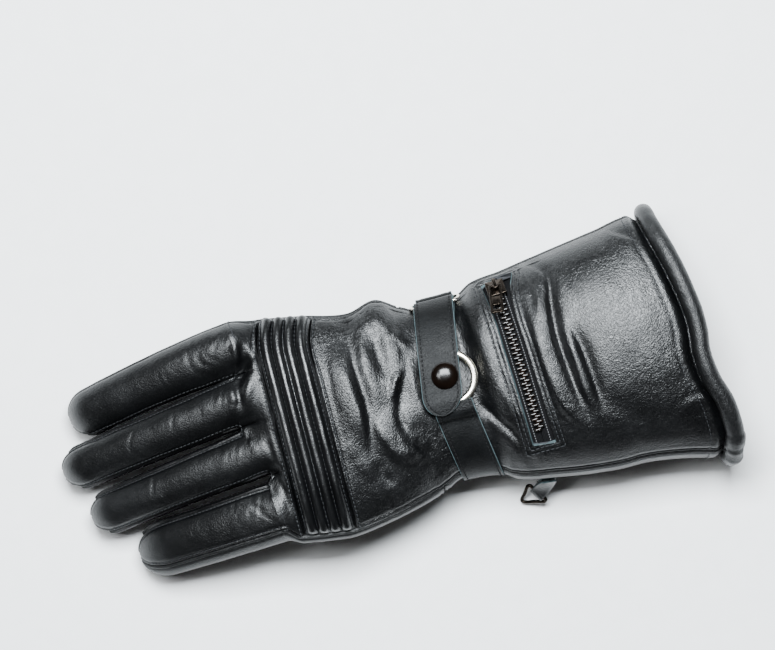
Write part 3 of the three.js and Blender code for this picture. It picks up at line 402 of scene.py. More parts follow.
# Folds of the leather: how wide each is on its two sides, how high it stands and its line seen from above
folds = [
    # the wrist on the hand's side of the strap
    (8.5, 5, 3.2, [(-25.6, 38), (-25, 24.5), (-23.9, 8.8), (-23, -7.2), (-24.5, -20)]),
    (3, 4.4, 1.2, [(-14.2, 40), (-13.4, 21.8), (-12, 10.3), (-7.6, 1.5)]),
    (4, 6, 2.2, [(-14.5, -2), (-12, -13.9), (-6.3, -23), (4.5, -25)]),
    (3.4, 4.4, 2.1, [(12.4, 26), (8.4, 16.1), (7.4, 1.8), (9, -9), (13, -19)]),
    (2.2, 3, -1.4, [(-17, 41.4), (-18.7, 22), (-18.2, 7.2), (-18.8, -5.6), (-21, -16.1), (-21.5, -24)]),
    (4.2, 5, -2.1, [(-6.4, 44), (-5.4, 33.8), (-4.6, 23.3), (-3.4, 12)]),
    (3, 3.6, -1.8, [(4.4, 13.5), (-0.6, 1.4), (-1.8, -10.4), (3.3, -17.6)]),
    (1.8, 2.2, 1.1, [(-4.6, 3.5), (-0.8, 11.6), (5.4, 19.1)]),
    (4, 4, 0.9, [(-33, -9), (-27.6, -21), (-22, -33)]),
    (3.4, 1.8, -0.5, [(-30.9, 41), (-32.4, 21.9), (-33, 6.5), (-32.6, -8)]),
    (1.6, 2.2, -0.9, [(-4.3, -16), (1.3, -20.9), (9.3, -29.8)]),
    (2, 2.4, 0.8, [(3, 38), (8.2, 28), (11.8, 25.4)]),
    (2, 2.4, -0.9, [(-16.9, 50), (-16.6, 41.3)]),
    (2.2, 2.6, -0.9, [(-19.5, -22.5), (-18.4, -31.4), (-13, -38)]),
    # between the strap and the zip
    (5.4, 6, 1.8, [(46, 36), (45.5, 6), (47.5, -24)]),
    (3, 4.4, -1.6, [(36, 40), (36.4, 14), (38, -6)]),
    (1.6, 2.6, -1.6, [(36.3, -7), (42.5, -17), (47.5, -25), (53, -35)]),
    (2.6, 2.8, 0.6, [(36, -13), (40, -21.9), (41.5, -31)]),
    # the cuff beyond the zip
    (1.7, 3.4, -2.5, [(78, 53.3), (85.2, 44.6), (83.4, 29.6), (82.4, 12.6), (84, -6.7), (86.5, -24.9)]),
    (1.6, 3.4, -1.7, [(90.2, 19.5), (92.6, 6.5), (94.5, -9.5), (95.9, -29.1)]),
    (2, 3.6, 1.9, [(86, 19.5), (88, 2.1), (89.2, -13.7), (92.2, -28.4)]),
    (2.8, 6.5, 2.7, [(73.8, 36), (73.4, 10.7), (75.2, -8.7), (78.8, -23.3), (86, -31)]),
    (2, 2.2, 0.8, [(74.8, 52.7), (77.9, 36.2), (76.9, 22.6)]),
    (1.3, 1.5, -0.7, [(72.6, 52.8), (75.6, 39.8), (74.6, 26.9)]),
    (3, 3, 0.7, [(75.8, -16.4), (81.8, -28.6), (90.6, -37.5)]),
    (1.6, 3, -0.8, [(119.3, 59.6), (133.4, 51.1), (140, 44.2)]),
    (3, 3, 0.7, [(132.3, -36.7), (145.6, -34.7), (151.8, -42.2)]),
    (6, 6, -0.9, [(98, -20), (112, -34), (130, -44)]),
    # over the knuckles and on the fingers
    (1.9, 2.2, -0.9, [(-70.2, 51.5), (-71, 42.8), (-74.3, 35.8)]),
    (2.8, 1.8, 0.9, [(-73.6, 51.5), (-73.9, 43.5), (-77.3, 39)]),
    (1.7, 1.9, 0.6, [(-68, 49.2), (-67.4, 41)]),
    (3.2, 3, 1.5, [(-62.8, 43.9), (-71.2, 29.1), (-76.1, 18)]),
    (1.9, 2.4, -1.5, [(-65.2, 43.6), (-75.2, 33.6), (-77.6, 25.6), (-78.1, 13.4)]),
    (2.6, 1.8, 0.8, [(-80.9, 30.1), (-79.7, 20.7)]),
    (0.6, 0.8, -0.25, [(-115, 47.4), (-112.6, 36.1)]),
    (0.5, 0.8, -0.2, [(-111.4, 46), (-109.6, 38)]),
    (0.7, 1.1, -0.26, [(-98, 53.3), (-96.7, 42.4), (-89.1, 38.1)]),
    (0.7, 1.1, -0.26, [(-93.2, 53), (-92, 45), (-85, 41)]),
    (0.7, 1.1, -0.24, [(-88.6, 53), (-88, 47), (-82, 43)]),
    (0.5, 0.7, -0.34, [(-133.2, 21.5), (-137.3, 13.4), (-135.2, 7)]),
    (0.5, 0.7, -0.3, [(-111.4, 26), (-114.6, 14.6)]),
    (0.5, 0.7, -0.22, [(-98, 25), (-99, 16.4)]),
    (0.5, 0.7, -0.28, [(-129.4, -1.6), (-132.7, -15)]),
    (0.5, 0.7, -0.22, [(-105.4, -7.8), (-107.7, -16.4)]),
    (1.6, 3.2, -0.9, [(-68.5, -18), (-66.6, -40)]),
    (0.8, 1.1, -0.35, [(-88.8, -25.4), (-78, -36)]),
    (0.8, 1.1, -0.3, [(-86, -30), (-76, -41)]),
    (1.4, 2, -0.7, [(-70.2, 1), (-69, -13)]),
]
swells = [  # broad domes: the middle's x and y, the reach along each and the height
    (117, 8, 27, 36, 2.4),
    (134, 34, 16, 20, -0.8),
    (-52, 20, 9, 30, 0.5),
    (-20, 8, 12, 28, 1.4),
    (-28, 43, 14, 14, -2.0),
]
foldEnds = {
    "step": 1.6,
    "share": 0.34,  # of a fold's length before it reaches its full height
    "least": 1.1,  # widths, where that is longer
    "early": 0.22,  # how much further it starts beyond its end
}


def foldHeight(x, y):
    # each fold is a bell across its line, which rises slowly from either end; each swell is a round bell
    total, flat = np.zeros(x.shape), np.stack([x, y], -1)
    for atX, atY, farX, farY, height in swells:
        total += height * np.exp(-(((x - atX) / farX) ** 2) - ((y - atY) / farY) ** 2)
    for low, high, height, places in folds:
        line = resample(places, foldEnds["step"], columns=2)
        way = line[1:] - line[:-1]
        lengths = np.linalg.norm(way, axis=1)
        before, wide = np.concatenate([[0], np.cumsum(lengths)]), max(low, high)
        near = ((flat > line.min(0) - 3 * wide) & (flat < line.max(0) + 3 * wide)).all(-1)
        p = flat[near]
        best, side, along = np.full(len(p), 1e9), np.zeros(len(p)), np.zeros(len(p))
        for k in range(len(way)):
            rel = p - line[k]
            t = np.clip((rel @ way[k]) / lengths[k] ** 2, 0, 1)
            away = rel - t[:, None] * way[k]
            d = np.linalg.norm(away, axis=1)
            closer = d < best
            best = np.where(closer, d, best)
            side = np.where(closer, away[:, 0], side)
            along = np.where(closer, before[k] + t * lengths[k], along)
        width = mix(low, high, smooth(side / wide, -0.6, 0.6))
        taper = max(foldEnds["share"] * before[-1], foldEnds["least"] * wide)
        fade = smooth(np.minimum(along, before[-1] - along), -foldEnds["early"] * taper, taper)
        total[near] += bells(best, [(height, 0, width)]) * fade
    return total


def wearRelief(points, normals):
    # folds on the back, slow uneven swells everywhere, fine gathers across the wrist and at the finger roots
    x, y, up = points[:, 0], points[:, 1], smooth(normals[:, 2], 0.05, 0.55)
    wrist = smooth(x, -34, -20) * (1 - smooth(x, 54, 70))
    roots = smooth(x, -108, -88) * (1 - smooth(x, -78, -70))
    swell = 0.3 * ripple(x, y, 17, 21, 1) + 0.13 * ripple(x, y, 6.5, 9, 2)
    bend = 1.5 * ripple(x, y, 14, 14, 4)
    gathers = wrist * (0.3 * ripple(x + 0.2 * y + bend, y, 3.6, 12, 3)
                       + 0.13 * ripple(x + bend, y, 1.7, 6, 5))
    gathers += 0.16 * roots * ripple(x - 0.4 * y + bend, y, 1.9, 6, 6)
    return up * (foldHeight(x, y) + gathers) + swell * (0.5 + 0.5 * up)


surfaces = {}
panelForm = {
    # bells of the distance from a seam: turned in, a rolled lip, the stitches' trough and a puff behind it
    "seam": [(-1.0, 0, 0.5), (0.18, 0.95, 0.5), (-0.36, 1.9, 0.45), (0.12, 3.5, 1.1)],
    # and from a cut edge: its rounding and the troughs of two rows
    "cut": [(-0.22, 0, 0.35), (-0.3, 1.7, 0.5), (-0.3, 3.9, 0.5)],
    "cutWide": 0.36,
    "innerShare": 0.6,  # how much of the relief the inner face follows
}


def makePanel(name, part, gridsAt, looks, relief=wearRelief, seam=panelForm["seam"], raw=None):
    # a sewn panel with a wall: outer face, inner face and the edges between; gridsAt has its grids at a depth
    grids = gridsAt(0.0)
    points, faces = weld(grids)
    if facing(grids[0], gridsAt(1.0)[0]):
        faces = faces[:, ::-1]
    normals, edges = normalsOf(points, faces), borders(faces, len(points))
    cut = raw(points[edges].mean(1)) if raw else np.zeros(len(edges), bool)
    fromSeam, fromCut = (distanceTo(points, *points[edges[chosen].T]) for chosen in (~cut, cut))
    height = relief(points, normals) + bells(fromSeam, seam) + bells(fromCut, panelForm["cut"])
    outer = points + normals * height[:, None]
    inner = points + normals * (panelForm["innerShare"] * height - glove["wall"])[:, None]
    outer[:, 2], inner[:, 2] = np.maximum(outer[:, 2], 0.0), np.maximum(inner[:, 2], 0.4)
    n, (a, b) = len(points), edges.T
    whole = np.concatenate([faces, faces[:, ::-1] + n, halves(b, a, a + n, b + n)])
    rim = np.where((fromCut[faces] < panelForm["cutWide"]).all(1), 2, 0)
    slots = np.concatenate([rim, np.ones(len(faces), int), np.tile(np.where(cut, 2, 0), 2)])
    surfaces[name] = points, outer, normalsOf(outer, faces)
    return settle(makeMesh(name, np.concatenate([outer, inner]), whole, looks, slots), part)


def lieOn(name, path):
    # a path on the bare form, moved with the nearest place of the finished surface, and the way out there
    bare, outer, normals = surfaces[name]
    near = ((bare > path.min(0) - 3) & (bare < path.max(0) + 3)).all(1)
    kept, moved, out = bare[near], (outer - bare)[near], normals[near]
    nearest = np.concatenate([((places[:, None] - kept[None]) ** 2).sum(-1).argmin(1)
                              for places in np.array_split(path, len(path) // 60 + 1)])
    return path + moved[nearest], out[nearest]


print("tools ready")


# Finishes, all from nodes
class Finish:
    # a principled surface: its even values sit on its own sockets, its textures read the object's coordinates
    def __init__(self, name, **values):
        self.material = bpy.data.materials.new(name)
        self.material.use_nodes = True
        self.tree = self.material.node_tree
        self.shader = self.tree.nodes["Principled BSDF"]
        self.place = self.node("TexCoord").outputs["Object"]
        for key, value in values.items():
            self.shader.inputs[key.replace("_", " ")].default_value = value

    def node(self, kind, *inOrder, **values):  # its sockets in order or by name, by value or from an output
        made = self.tree.nodes.new("ShaderNode" + kind)
        for key, value in [*values.items(), *enumerate(inOrder)]:
            if isinstance(key, str) and key not in made.inputs:
                setattr(made, key, value)
            elif isinstance(value, bpy.types.NodeSocket):
                self.tree.links.new(value, made.inputs[key])
            else:
                made.inputs[key].default_value = value
        return made

    def noise(self, scale, detail, **values):
        return self.node("TexNoise", Vector=self.place, Scale=scale, Detail=detail, **values).outputs["Fac"]

    def plus(self, source, factor, rest):  # the source times the factor, plus the rest
        return self.node("Math", source, factor, rest, operation="MULTIPLY_ADD").outputs[0]

    def ramp(self, source, low, high, start, end):  # the source from low to high as a value from start to end
        return self.node("MapRange", source, low, high, start, end).outputs["Result"]

    def colour(self, source, low, high, start, end):  # the same for the colour
        made = self.node("ValToRGB", source)
        for stop, place, colour in zip(made.color_ramp.elements, (low, high), (start, end)):
            stop.position, stop.color = place, (*colour, 1)
        self.tree.links.new(made.outputs["Color"], self.shader.inputs["Base Color"])

    def roughness(self, source):
        self.tree.links.new(source, self.shader.inputs["Roughness"])

    def bump(self, height, strength, distance):
        made = self.node("Bump", Strength=strength, Distance=distance, Height=height)
        self.tree.links.new(made.outputs["Normal"], self.shader.inputs["Normal"])


leatherLook = {
    "colour": (0.0007, 0.0008, 0.001),
    "worn": (0.0016, 0.0018, 0.0022),
    "roughness": (0.3, 0.4),
    "speckle": 0.11,  # how far the gloss changes from pore to pore
    "gloss": 0.5,
    "grainCell": 1350,  # cells in a metre
    "wrinkle": 1.2,  # the fine wrinkles' height in grain heights
    "grainDepth": 0.00016,
    "grainStrength": 0.6,
}


def leather(name, **changes):
    # height: 1 minus the distance to cell centres, 0.35 of the distance to larger cells' edges, 0.8 of fine
    # noise and the wrinkles' noise; tone from slow noise; gloss from slow noise and from pores
    look = {**leatherLook, **changes}
    cell = look["grainCell"]
    made = Finish(name, Base_Color=(*look["colour"], 1), Specular_IOR_Level=look["gloss"])
    warp = made.node("TexNoise", Vector=made.place, Scale=260.0, Detail=2.0).outputs["Color"]
    place = made.node("MixRGB", 0.0012, made.place, warp, blend_type="LINEAR_LIGHT").outputs["Color"]
    cells = made.node("TexVoronoi", Vector=place, Scale=cell, feature="SMOOTH_F1", Smoothness=0.4)
    lines = made.node("TexVoronoi", Vector=place, Scale=cell * 0.42, feature="DISTANCE_TO_EDGE")
    fine = made.node("TexNoise", Vector=place, Scale=3200.0, Detail=3.0).outputs["Fac"]
    pebbles = made.ramp(cells.outputs["Distance"], 0.0, 0.75, 1.0, 0.0)
    grain = made.plus(made.ramp(lines.outputs["Distance"], 0.0, 0.09, 0.0, 1.0), 0.35, pebbles)
    grain = made.plus(made.noise(430.0, 3.0, Distortion=1.6), look["wrinkle"], made.plus(fine, 0.8, grain))
    made.bump(grain, look["grainStrength"], look["grainDepth"])
    slow = made.noise(38.0, 5.0, Roughness=0.62)
    pores = made.ramp(made.noise(1500.0, 2.0), 0.3, 0.7, -0.5, 0.5)
    made.roughness(made.plus(pores, look["speckle"], made.ramp(slow, 0.3, 0.72, *look["roughness"])))
    made.colour(slow, 0.42, 0.78, look["colour"], look["worn"])
    return made.material


def fibres(name, light, dark, roughness=0.85, scale=900.0):
    # loose fibres: fine noise in the tone and in the height
    made = Finish(name, Roughness=roughness, Specular_IOR_Level=0.25)
    fuzz = made.noise(scale, 6.0, Roughness=0.7)
    made.colour(fuzz, 0.32, 0.7, dark, light)
    made.bump(fuzz, 0.5, 0.0003)
    return made.material


def polished(name, colour, stainAndPaintedReflection, roughness, metallic=1.0, scale=500.0, gloss=0.6):
    # metal or smooth plastic: slow noise between its colour and its stains, five times finer noise for
    # scratches in its gloss; on the teeth and the snap's cap the warm tint is a painted reflection
    made = Finish(name, Metallic=metallic, Specular_IOR_Level=gloss)
    scratches = made.noise(scale * 5, 3.0, Distortion=2.0)
    made.colour(made.noise(scale, 5.0, Roughness=0.65), 0.35, 0.7, colour, stainAndPaintedReflection)
    made.roughness(made.ramp(scratches, 0.3, 0.75, *roughness))
    made.bump(scratches, 0.12, 0.00004)
    return made.material


def woven(name, colour, light):
    # the product of bands along and across, a millimetre and less apart, in the tone and in the height
    made = Finish(name, Roughness=0.82, Specular_IOR_Level=0.12)
    bands = [made.node("TexWave", Vector=made.place, Scale=scale, bands_direction=way, Distortion=0.6)
             for scale, way in ((520.0, "Y"), (420.0, "X"))]
    weave = made.node("Math", *(b.outputs["Fac"] for b in bands), operation="MULTIPLY").outputs[0]
    made.colour(weave, 0.05, 0.8, colour, light)
    made.bump(weave, 0.6, 0.0003)
    return made.material


hide = leather("blackLeather")
padHide = leather("blackLeatherRibs", roughness=(0.28, 0.36), speckle=0.05, wrinkle=0.5, grainStrength=0.35)
handHide = leather("blackLeatherHand", roughness=(0.33, 0.43), gloss=0.4, speckle=0.07, wrinkle=0.9,
                   grainStrength=0.42)
rollHide = leather("blackLeatherHem", roughness=(0.4, 0.5), gloss=0.4)
underHide = leather("blackLeatherPalm", roughness=(0.42, 0.54), gloss=0.32)
strapHide = leather("strapLeather", colour=(0.001, 0.0012, 0.0014), worn=(0.004, 0.0047, 0.0052),
                    roughness=(0.46, 0.58), gloss=0.15, grainStrength=0.5)
cutHide = fibres("cutEdge", (0.09, 0.132, 0.142), (0.03, 0.046, 0.05))
lining = fibres("lining", (0.05, 0.052, 0.057), (0.017, 0.017, 0.019), 0.95, 2200.0)
thread = fibres("thread", (0.032, 0.034, 0.037), (0.006, 0.0062, 0.0068), 0.4, 2600.0)
# the strap's stitches are dark thread, made nearly black as painted shade of their holes
strapThreadPaintedShade = fibres("strapThreadPaintedShade", (0.003, 0.003, 0.0033), (0.0008, 0.0008, 0.0009), 0.8, 2600.0)
cordThread = fibres("zipCord", (0.16, 0.16, 0.165), (0.05, 0.05, 0.052), 0.7, 2600.0)
tapeCloth = woven("tapeCloth", (0.0012, 0.0012, 0.0014), (0.008, 0.008, 0.009))
# the teeth are near black; their orange-brown blotches are painted reflections of warm light, not stains
toothPlastic = polished("toothPlastic", (0.0016, 0.0016, 0.0017), (0.01, 0.0045, 0.0024), (0.2, 0.32),
                        0.0, 240.0, 0.45)
darkMetal = polished("darkMetal", (0.05, 0.04, 0.032), (0.022, 0.017, 0.014), (0.2, 0.36))
# the cap is near black; the warm brown tint in its colour and its blotches is a painted brownish reflection
capMetal = polished("capMetal", (0.0035, 0.0019, 0.0012), (0.0016, 0.0009, 0.0006), (0.15, 0.22),
                    0.0, 160.0, 0.26)
silver = polished("silver", (0.83, 0.8, 0.74), (0.62, 0.56, 0.42), (0.12, 0.3))
backLooks, handLooks, palmLooks, ribLooks = [[outside, lining, cutHide]
                                             for outside in (hide, handHide, underHide, padHide)]

# The hand: one strip for each finger from the ribbed panel's edge to the tip
handSteps = {"across": 0.95, "along": 0.95, "fine": 0.42, "rootRows": 16}


def rootTurns(under, inset):  # the angles between which the fingers' strips start, a hair beside the seams
    edges = [float(bodyAngle(bodyForm["ribEdge"], y, under)) for x, y in forks[1:4]]
    inset = inset if under else -inset
    return [glove["thumbSeam"] + inset, *edges, 360 * under + glove["littleSeam"] - inset]


def handGrids(under, depth):
    turns, palm, grids = rootTurns(under, math.degrees(glove["seamGap"] / 2 / 30)), glove["palmSeam"], []
    for number, finger in enumerate(fingers):
        across = (finger["highSeam"], finger["lowSeam"])
        if under:
            across = (180 + palm if number else across[0], 360 - palm if number < 3 else 360 + across[1])
        body = turns[number:number + 2]
        t = spread(34, handSteps["across"], handSteps["fine"], 2.8, 2.8)[None, :]
        rows = spread(88, handSteps["along"], 0.5, 3.5, 9)[:, None]
        root = np.linspace(0, 1, handSteps["rootRows"])[:, None]
        grids.append(knucklePoint(number, root, t, body, across, depth))
        grids.append(fingerPoint(number, rows, mix(*across, t), depth))
        if under:
            x = spread(74, 1.3, 0.6, 2, 2)[:, None] * (bodyForm["palmEnd"] - 0.3 - bodyForm["ribEdge"])
            x = (x + bodyForm["ribEdge"])[::-1]
            turn = mix(*body, t)
            shift = edgeBend(turn) * smooth(-x, -bodyForm["palmEnd"], -bodyForm["ribEnd"])
            grids.append(bodyPoint(x + shift, turn, depth))
    return grids


def palmRelief(points, normals):
    # the wear, and troughs where the palm and the fingers bend: bells of x, or of x with a share of y
    x, y = points[:, 0], points[:, 1]
    creases = bells(x + 0.25 * y, [(0.9, -18, 1.6)]) + bells(x - 0.3 * y, [(0.63, 2, 1.4)])
    creases = (creases + bells(x, [(0.7, -70, 2.2), (0.42, -104, 1.6)])) * (0.7 + 0.3 * ripple(x, y, 9, 9, 5))
    return wearRelief(points, normals) - smooth(-normals[:, 2], 0.1, 0.6) * creases


makePanel("hand_back_shell", "hand_back", lambda depth: handGrids(False, depth), handLooks)
makePanel("hand_palm_shell", "hand_palm", lambda depth: handGrids(True, depth), palmLooks, palmRelief)
print("hand ready")

# The walls between the fingers
wallForm = {
    "end": 0.94,  # the share of a finger's length
    "narrowFrom": 0.72,
    "narrowBy": 0.86,
    "inset": 0.9,  # degrees clear of the seams
    "columns": 18,
}


def wallGrid(number, depth):  # along one finger's side to the fork and back along the next finger's
    shares = spread(88, 1.3, 0.5, 4, 4) * wallForm["end"]

    def side(finger, upperAngle, order, mirrored):
        share = order[:, None]
        taper = 1 - wallForm["narrowBy"] * smooth(share, wallForm["narrowFrom"], wallForm["end"])
        low, high = wallForm["inset"] - glove["palmSeam"] * taper, upperAngle * taper - wallForm["inset"]
        turn = mix(low, high, np.linspace(0, 1, wallForm["columns"])[None, :])
        return fingerPoint(finger, share, 180 - turn if mirrored else turn, depth)

    first = side(number - 1, fingers[number - 1]["lowSeam"], shares[::-1], False)
    second = side(number, 180 - fingers[number]["highSeam"], shares[1:], True)
    return np.concatenate([first, second])


for number in (1, 2, 3):
    wall = f"fourchette_{fingers[number - 1]['name']}_{fingers[number]['name']}"
    makePanel(f"{wall}_strip", wall, lambda depth: [wallGrid(number, depth)], handLooks,
              lambda p, n: 0.3 * ripple(p[:, 0], p[:, 2], 8, 8, 6))
print("finger walls ready")

# Ribbed knuckle panel: padded channels across the back of the hand, four ribs with a seam at either edge
ribs = {"count": 4, "height": 2.8, "power": 0.55, "margin": 0.05, "gap": 0.3, "sink": 0.25, "fade": 9}
ribRun = bodyForm["ribEnd"] - bodyForm["ribEdge"] - 2 * ribs["gap"]


def ribX(share, angle):  # across the panel from the fingers' edge to the wrist's
    return bodyForm["ribEdge"] + ribs["gap"] + share * ribRun + edgeBend(angle)


def ribGrids(depth):
    angles = mix(*backSeams, spread(128, 0.9, 0.5, 3, 3))[None, :]
    return [bodyPoint(ribX(np.linspace(0, 1, 92)[:, None], angles), angles, depth)]


def ribRelief(points, normals):
    # an arch for each rib: sine to the power 0.55, ending in a stitched margin, with slow bulges along it
    x, y = points[:, 0], points[:, 1]
    turn = bodyAngle(np.clip(x, -64, -36), np.clip(y, -57, 57))
    share = (x - ribX(0, turn)) / ribRun
    channel = np.clip((share - ribs["margin"]) / (1 - 2 * ribs["margin"]), 0, 1) * ribs["count"]
    low, high, fade = glove["littleSeam"], glove["thumbSeam"], ribs["fade"]  # degrees at either end
    ends = smooth(turn, low, low + fade) * smooth(-turn, -high, fade - high)
    arch = np.abs(np.sin(channel * math.pi)) ** ribs["power"]
    bulge = 1 + 0.07 * ripple(np.floor(channel) * 31.0, y, 1.0, 11, 7) + 0.03 * ripple(x, y, 3, 5, 8)
    return ribs["height"] * arch * ends * bulge - ribs["sink"] * (1 - arch) + 0.08 * ripple(x, y, 5, 7, 9)


pad = makePanel("ribbed_panel", "rib_panel", ribGrids, ribLooks, ribRelief, [(-0.7, 0, 0.7)])
print("ribs ready")

# Hem: a padded binding rolled round the mouth
hem = {
    "angle": [0, 27, 36, 47, 60, 72, 84, 91, 97, 106, 121, 137, 155, 180, 225, 270, 315, 360],
    "x": [152.5, 155, 156.4, 156.4, 155.2, 151.3, 150, 151.1, 151, 149.7, 147, 143.8, 141.3, 140.4, 142,
          145.5, 149.8, 152.5],
    "radius": 4.8,
    "dip": 3.6,  # of the cuff under the roll
    "tuck": 1.6,  # how far the cuff reaches in beside the roll's middle
    "step": 0.75,
    "row": 7.4,  # from the roll's inner side to the stitches
    "dent": (1.8, 158, -61, 6, 5),  # how rough it is, its x and y and its reach along each
}


def hemX(angle):
    return curve(hem, "angle", "x", np.asarray(angle, float) % 360)


def cuffEnd(angle):
    return hemX(angle) - hem["radius"] + hem["tuck"]


def hemRoll():
    # a slightly squashed tube with gathers that slant across it and swell where it is fullest
    turns = np.linspace(0, 360, 721)
    edge = bodyPoint(hemX(turns), turns, 1.0)
    edge[..., 2] = np.maximum(edge[..., 2], hem["radius"] + 0.1)
    path = resample(edge, hem["step"])[:-1]
    way = unit(np.roll(path, -1, 0) - np.roll(path, 1, 0))
    out = unit(np.cross(way, [1.0, 0, 0]))  # away from the mouth's middle
    ahead = unit(np.cross(out, way))
    around = np.linspace(0, 2 * math.pi, 60, endpoint=False)
    s, c, n = np.arange(len(path))[:, None] * hem["step"], np.cos(around)[None, :], np.sin(around)[None, :]
    gathers = (0.1 * ripple(s + 1.6 * c, 2.2 * n + 0 * s, 4.1, 2.4, 12)
               + 0.05 * ripple(s - 2.2 * n, c + 0 * s, 1.9, 3, 13))
    rough, dentX, dentY, farX, farY = hem["dent"]
    crush = np.exp(-(((path[:, 0] - dentX) / farX) ** 2) - (((path[:, 1] - dentY) / farY) ** 2))[:, None]
    notch = rough * crush * ripple(s, 3 * n, 2.2, 3, 14)
    radius = hem["radius"] - 0.2 + 0.3 * ripple(s, 0 * s, 26, 1, 15) + gathers + notch
    ring = path[:, None] + out[:, None] * (radius * n)[..., None] + ahead[:, None] * (radius * c)[..., None]
    ring[..., 2] = np.maximum(ring[..., 2], 0.0)
    return ring


binding = gridMesh("hem_roll", "hem_binding", [hemRoll()], [rollHide], True)
print("hem ready")

# Gauntlet: a panel over the back, cut away for the zip, and a panel under the palm side
zipSlot = {
    "y": [-36.4, -10, 14, 26, 37, 44, 49, 52, 53.4],
    "left": [57.4, 56.3, 55.0, 54.6, 53.7, 52.8, 52.3, 53.2, 55.6],
    "right": [69.0, 67.4, 66.2, 65.3, 65.4, 66.6, 68.6, 67.6, 66.4],
    "end": 159.2,  # degrees, at the thumb side
    "middle": 63,
}


def zipX(angle):  # the zip's line
    return mix(63.3, 59.2, (angle - 50) / 100)


def backGrids(depth):
    # two fields that meet on the zip's line and part round its slot
    (low, high), slotHigh = backSeams, zipSlot["end"]
    slotLow = float(bodyAngle(zipSlot["middle"], zipSlot["y"][0]))
    angles = np.concatenate([
        spread(36, 1.1, 0.45, 3, 3)[:-1] * (slotLow - low) + low,
        [slotLow - 0.02, slotLow],  # a short step from the closed line to the open slot
        spread(96, 0.95, 0.4, 1, 5)[1:] * (slotHigh - slotLow) + slotLow,
        [slotHigh + 0.05],
        spread(14, 0.9, 0.4, 1, 3)[1:] * (high - slotHigh) + slotHigh,
    ])
    y = bodyPoint(np.full_like(angles, 61.0), angles)[:, 1]
    isOpen = (angles >= slotLow) & (angles <= slotHigh)
    closed = np.clip(zipX(angles), 58.4, 64.4)
    left, right = (np.where(isOpen, curve(zipSlot, "y", side, y), closed) for side in ("left", "right"))
    angles = angles[None, :]
    before = mix(bodyForm["ribEnd"], left, spread(96, 1.0, 0.42, 3, 4)[:, None])
    before = before + edgeBend(angles) * (1 - smooth(before, bodyForm["ribEnd"], -bodyForm["palmEnd"]))
    beyond = mix(right, cuffEnd(angles), spread(84, 1.0, 0.42, 4, 6)[:, None])
    return [bodyPoint(before, angles, depth), bodyPoint(beyond, angles, depth)]


def byHem(points):  # how far inside the hem's edge a place lies
    turn = np.degrees(np.arctan2(points[:, 2] - 30, -points[:, 1])) % 360
    turn = np.where(points[:, 2] > 30, bodyAngle(np.clip(points[:, 0], 100, 154), points[:, 1]), turn)
    return hemX(turn) - points[:, 0]


def cuffRelief(points, normals):
    # the wear, a dip under the binding's inner edge and short gathers running out of it
    inside = byHem(points)
    dip = bells(inside, [(-0.3, 12.2, 0.9), (-0.4, 4.2, 0.7)]) - hem["dip"] * (1 - smooth(inside, 4.4, 9.6))
    gathers = 0.35 * np.exp(-inside / 9) * ripple(points[:, 1] + points[:, 2], points[:, 0], 4.2, 13, 16)
    return wearRelief(points, normals) + (dip + gathers) * smooth(points[:, 0], 100, 118)


def bySlot(at):  # the cut edges beside the zip
    x, y, z = at.T
    return (x > 50) & (x < 71) & (y > -38.5) & (y < 55.5) & (z > 40)


def underGrids(depth):
    angles = mix(*palmSeams, spread(190, 1.3, 0.5, 3, 3))[None, :]
    share = spread(132, 1.3, 0.5, 3, 4)[:, None]
    return [bodyPoint(mix(bodyForm["palmEnd"], cuffEnd(angles), share), angles, depth)]


makePanel("gauntlet_back_shell", "gauntlet_back", backGrids, backLooks, cuffRelief, raw=bySlot)
makePanel("gauntlet_palm_shell", "gauntlet_palm", underGrids, palmLooks,
          lambda p, n: cuffRelief(p, n) * (1 - 0.6 * smooth(-n[:, 2], 0.3, 0.8)))
print("gauntlet ready")

# Thumb: a bent tube under the palm, open where it enters the hand
thumbForm = {
    "path": [(8, 31, 34), (-10, 33, 22), (-30, 31, 12.5), (-52, 27, 10.2), (-72, 22, 10.2), (-90, 17, 10)],
    "width": (16.5, 12.6),
    "height": (11.5, 9.8),
    "tipRound": 13.5,
    "start": 0.2,  # the share of its length where it leaves the palm
    "step": 0.5,
}


def thumbGrids(depth):
    # ellipses across the line, drawn in over the tip by the root of 1 minus the square of the share past it
    line, tipRound = resample(thumbForm["path"], thumbForm["step"]), thumbForm["tipRound"]
    length = thumbForm["step"] * (len(line) - 1)
    share = spread(length, 1.3, 0.6, 3, 14)
    share = share[share >= thumbForm["start"]]
    at = np.stack([np.interp(share * (len(line) - 1), np.arange(len(line)), v) for v in line.T], -1)
    way = unit(np.gradient(at, axis=0))
    side = unit(np.cross([0, 0, 1.0], way))
    up = np.cross(way, side)
    past = np.clip((share * length - (length - tipRound)) / (tipRound - depth), 0, 1)
    close = np.sqrt(np.maximum(1 - past ** 2, 0))
    a, b = ((mix(*thumbForm[key], np.clip(share * 2, 0, 1)) - depth) * close for key in ("width", "height"))
    turn = np.radians(np.linspace(0, 360, 73))
    grid = (at[:, None] + side[:, None] * (a[:, None] * np.cos(turn))[..., None]
            + up[:, None] * (b[:, None] * np.sin(turn))[..., None])
    grid[..., 2] = np.maximum(grid[..., 2], depth)
    return [grid]


makePanel("thumb_shell", "thumb", thumbGrids, palmLooks, lambda p, n: (
    0.35 * ripple(p[:, 0], p[:, 1], 9, 9, 17) + 0.3 * ripple(p[:, 0], p[:, 1], 4, 12, 18)))
print("thumb ready")

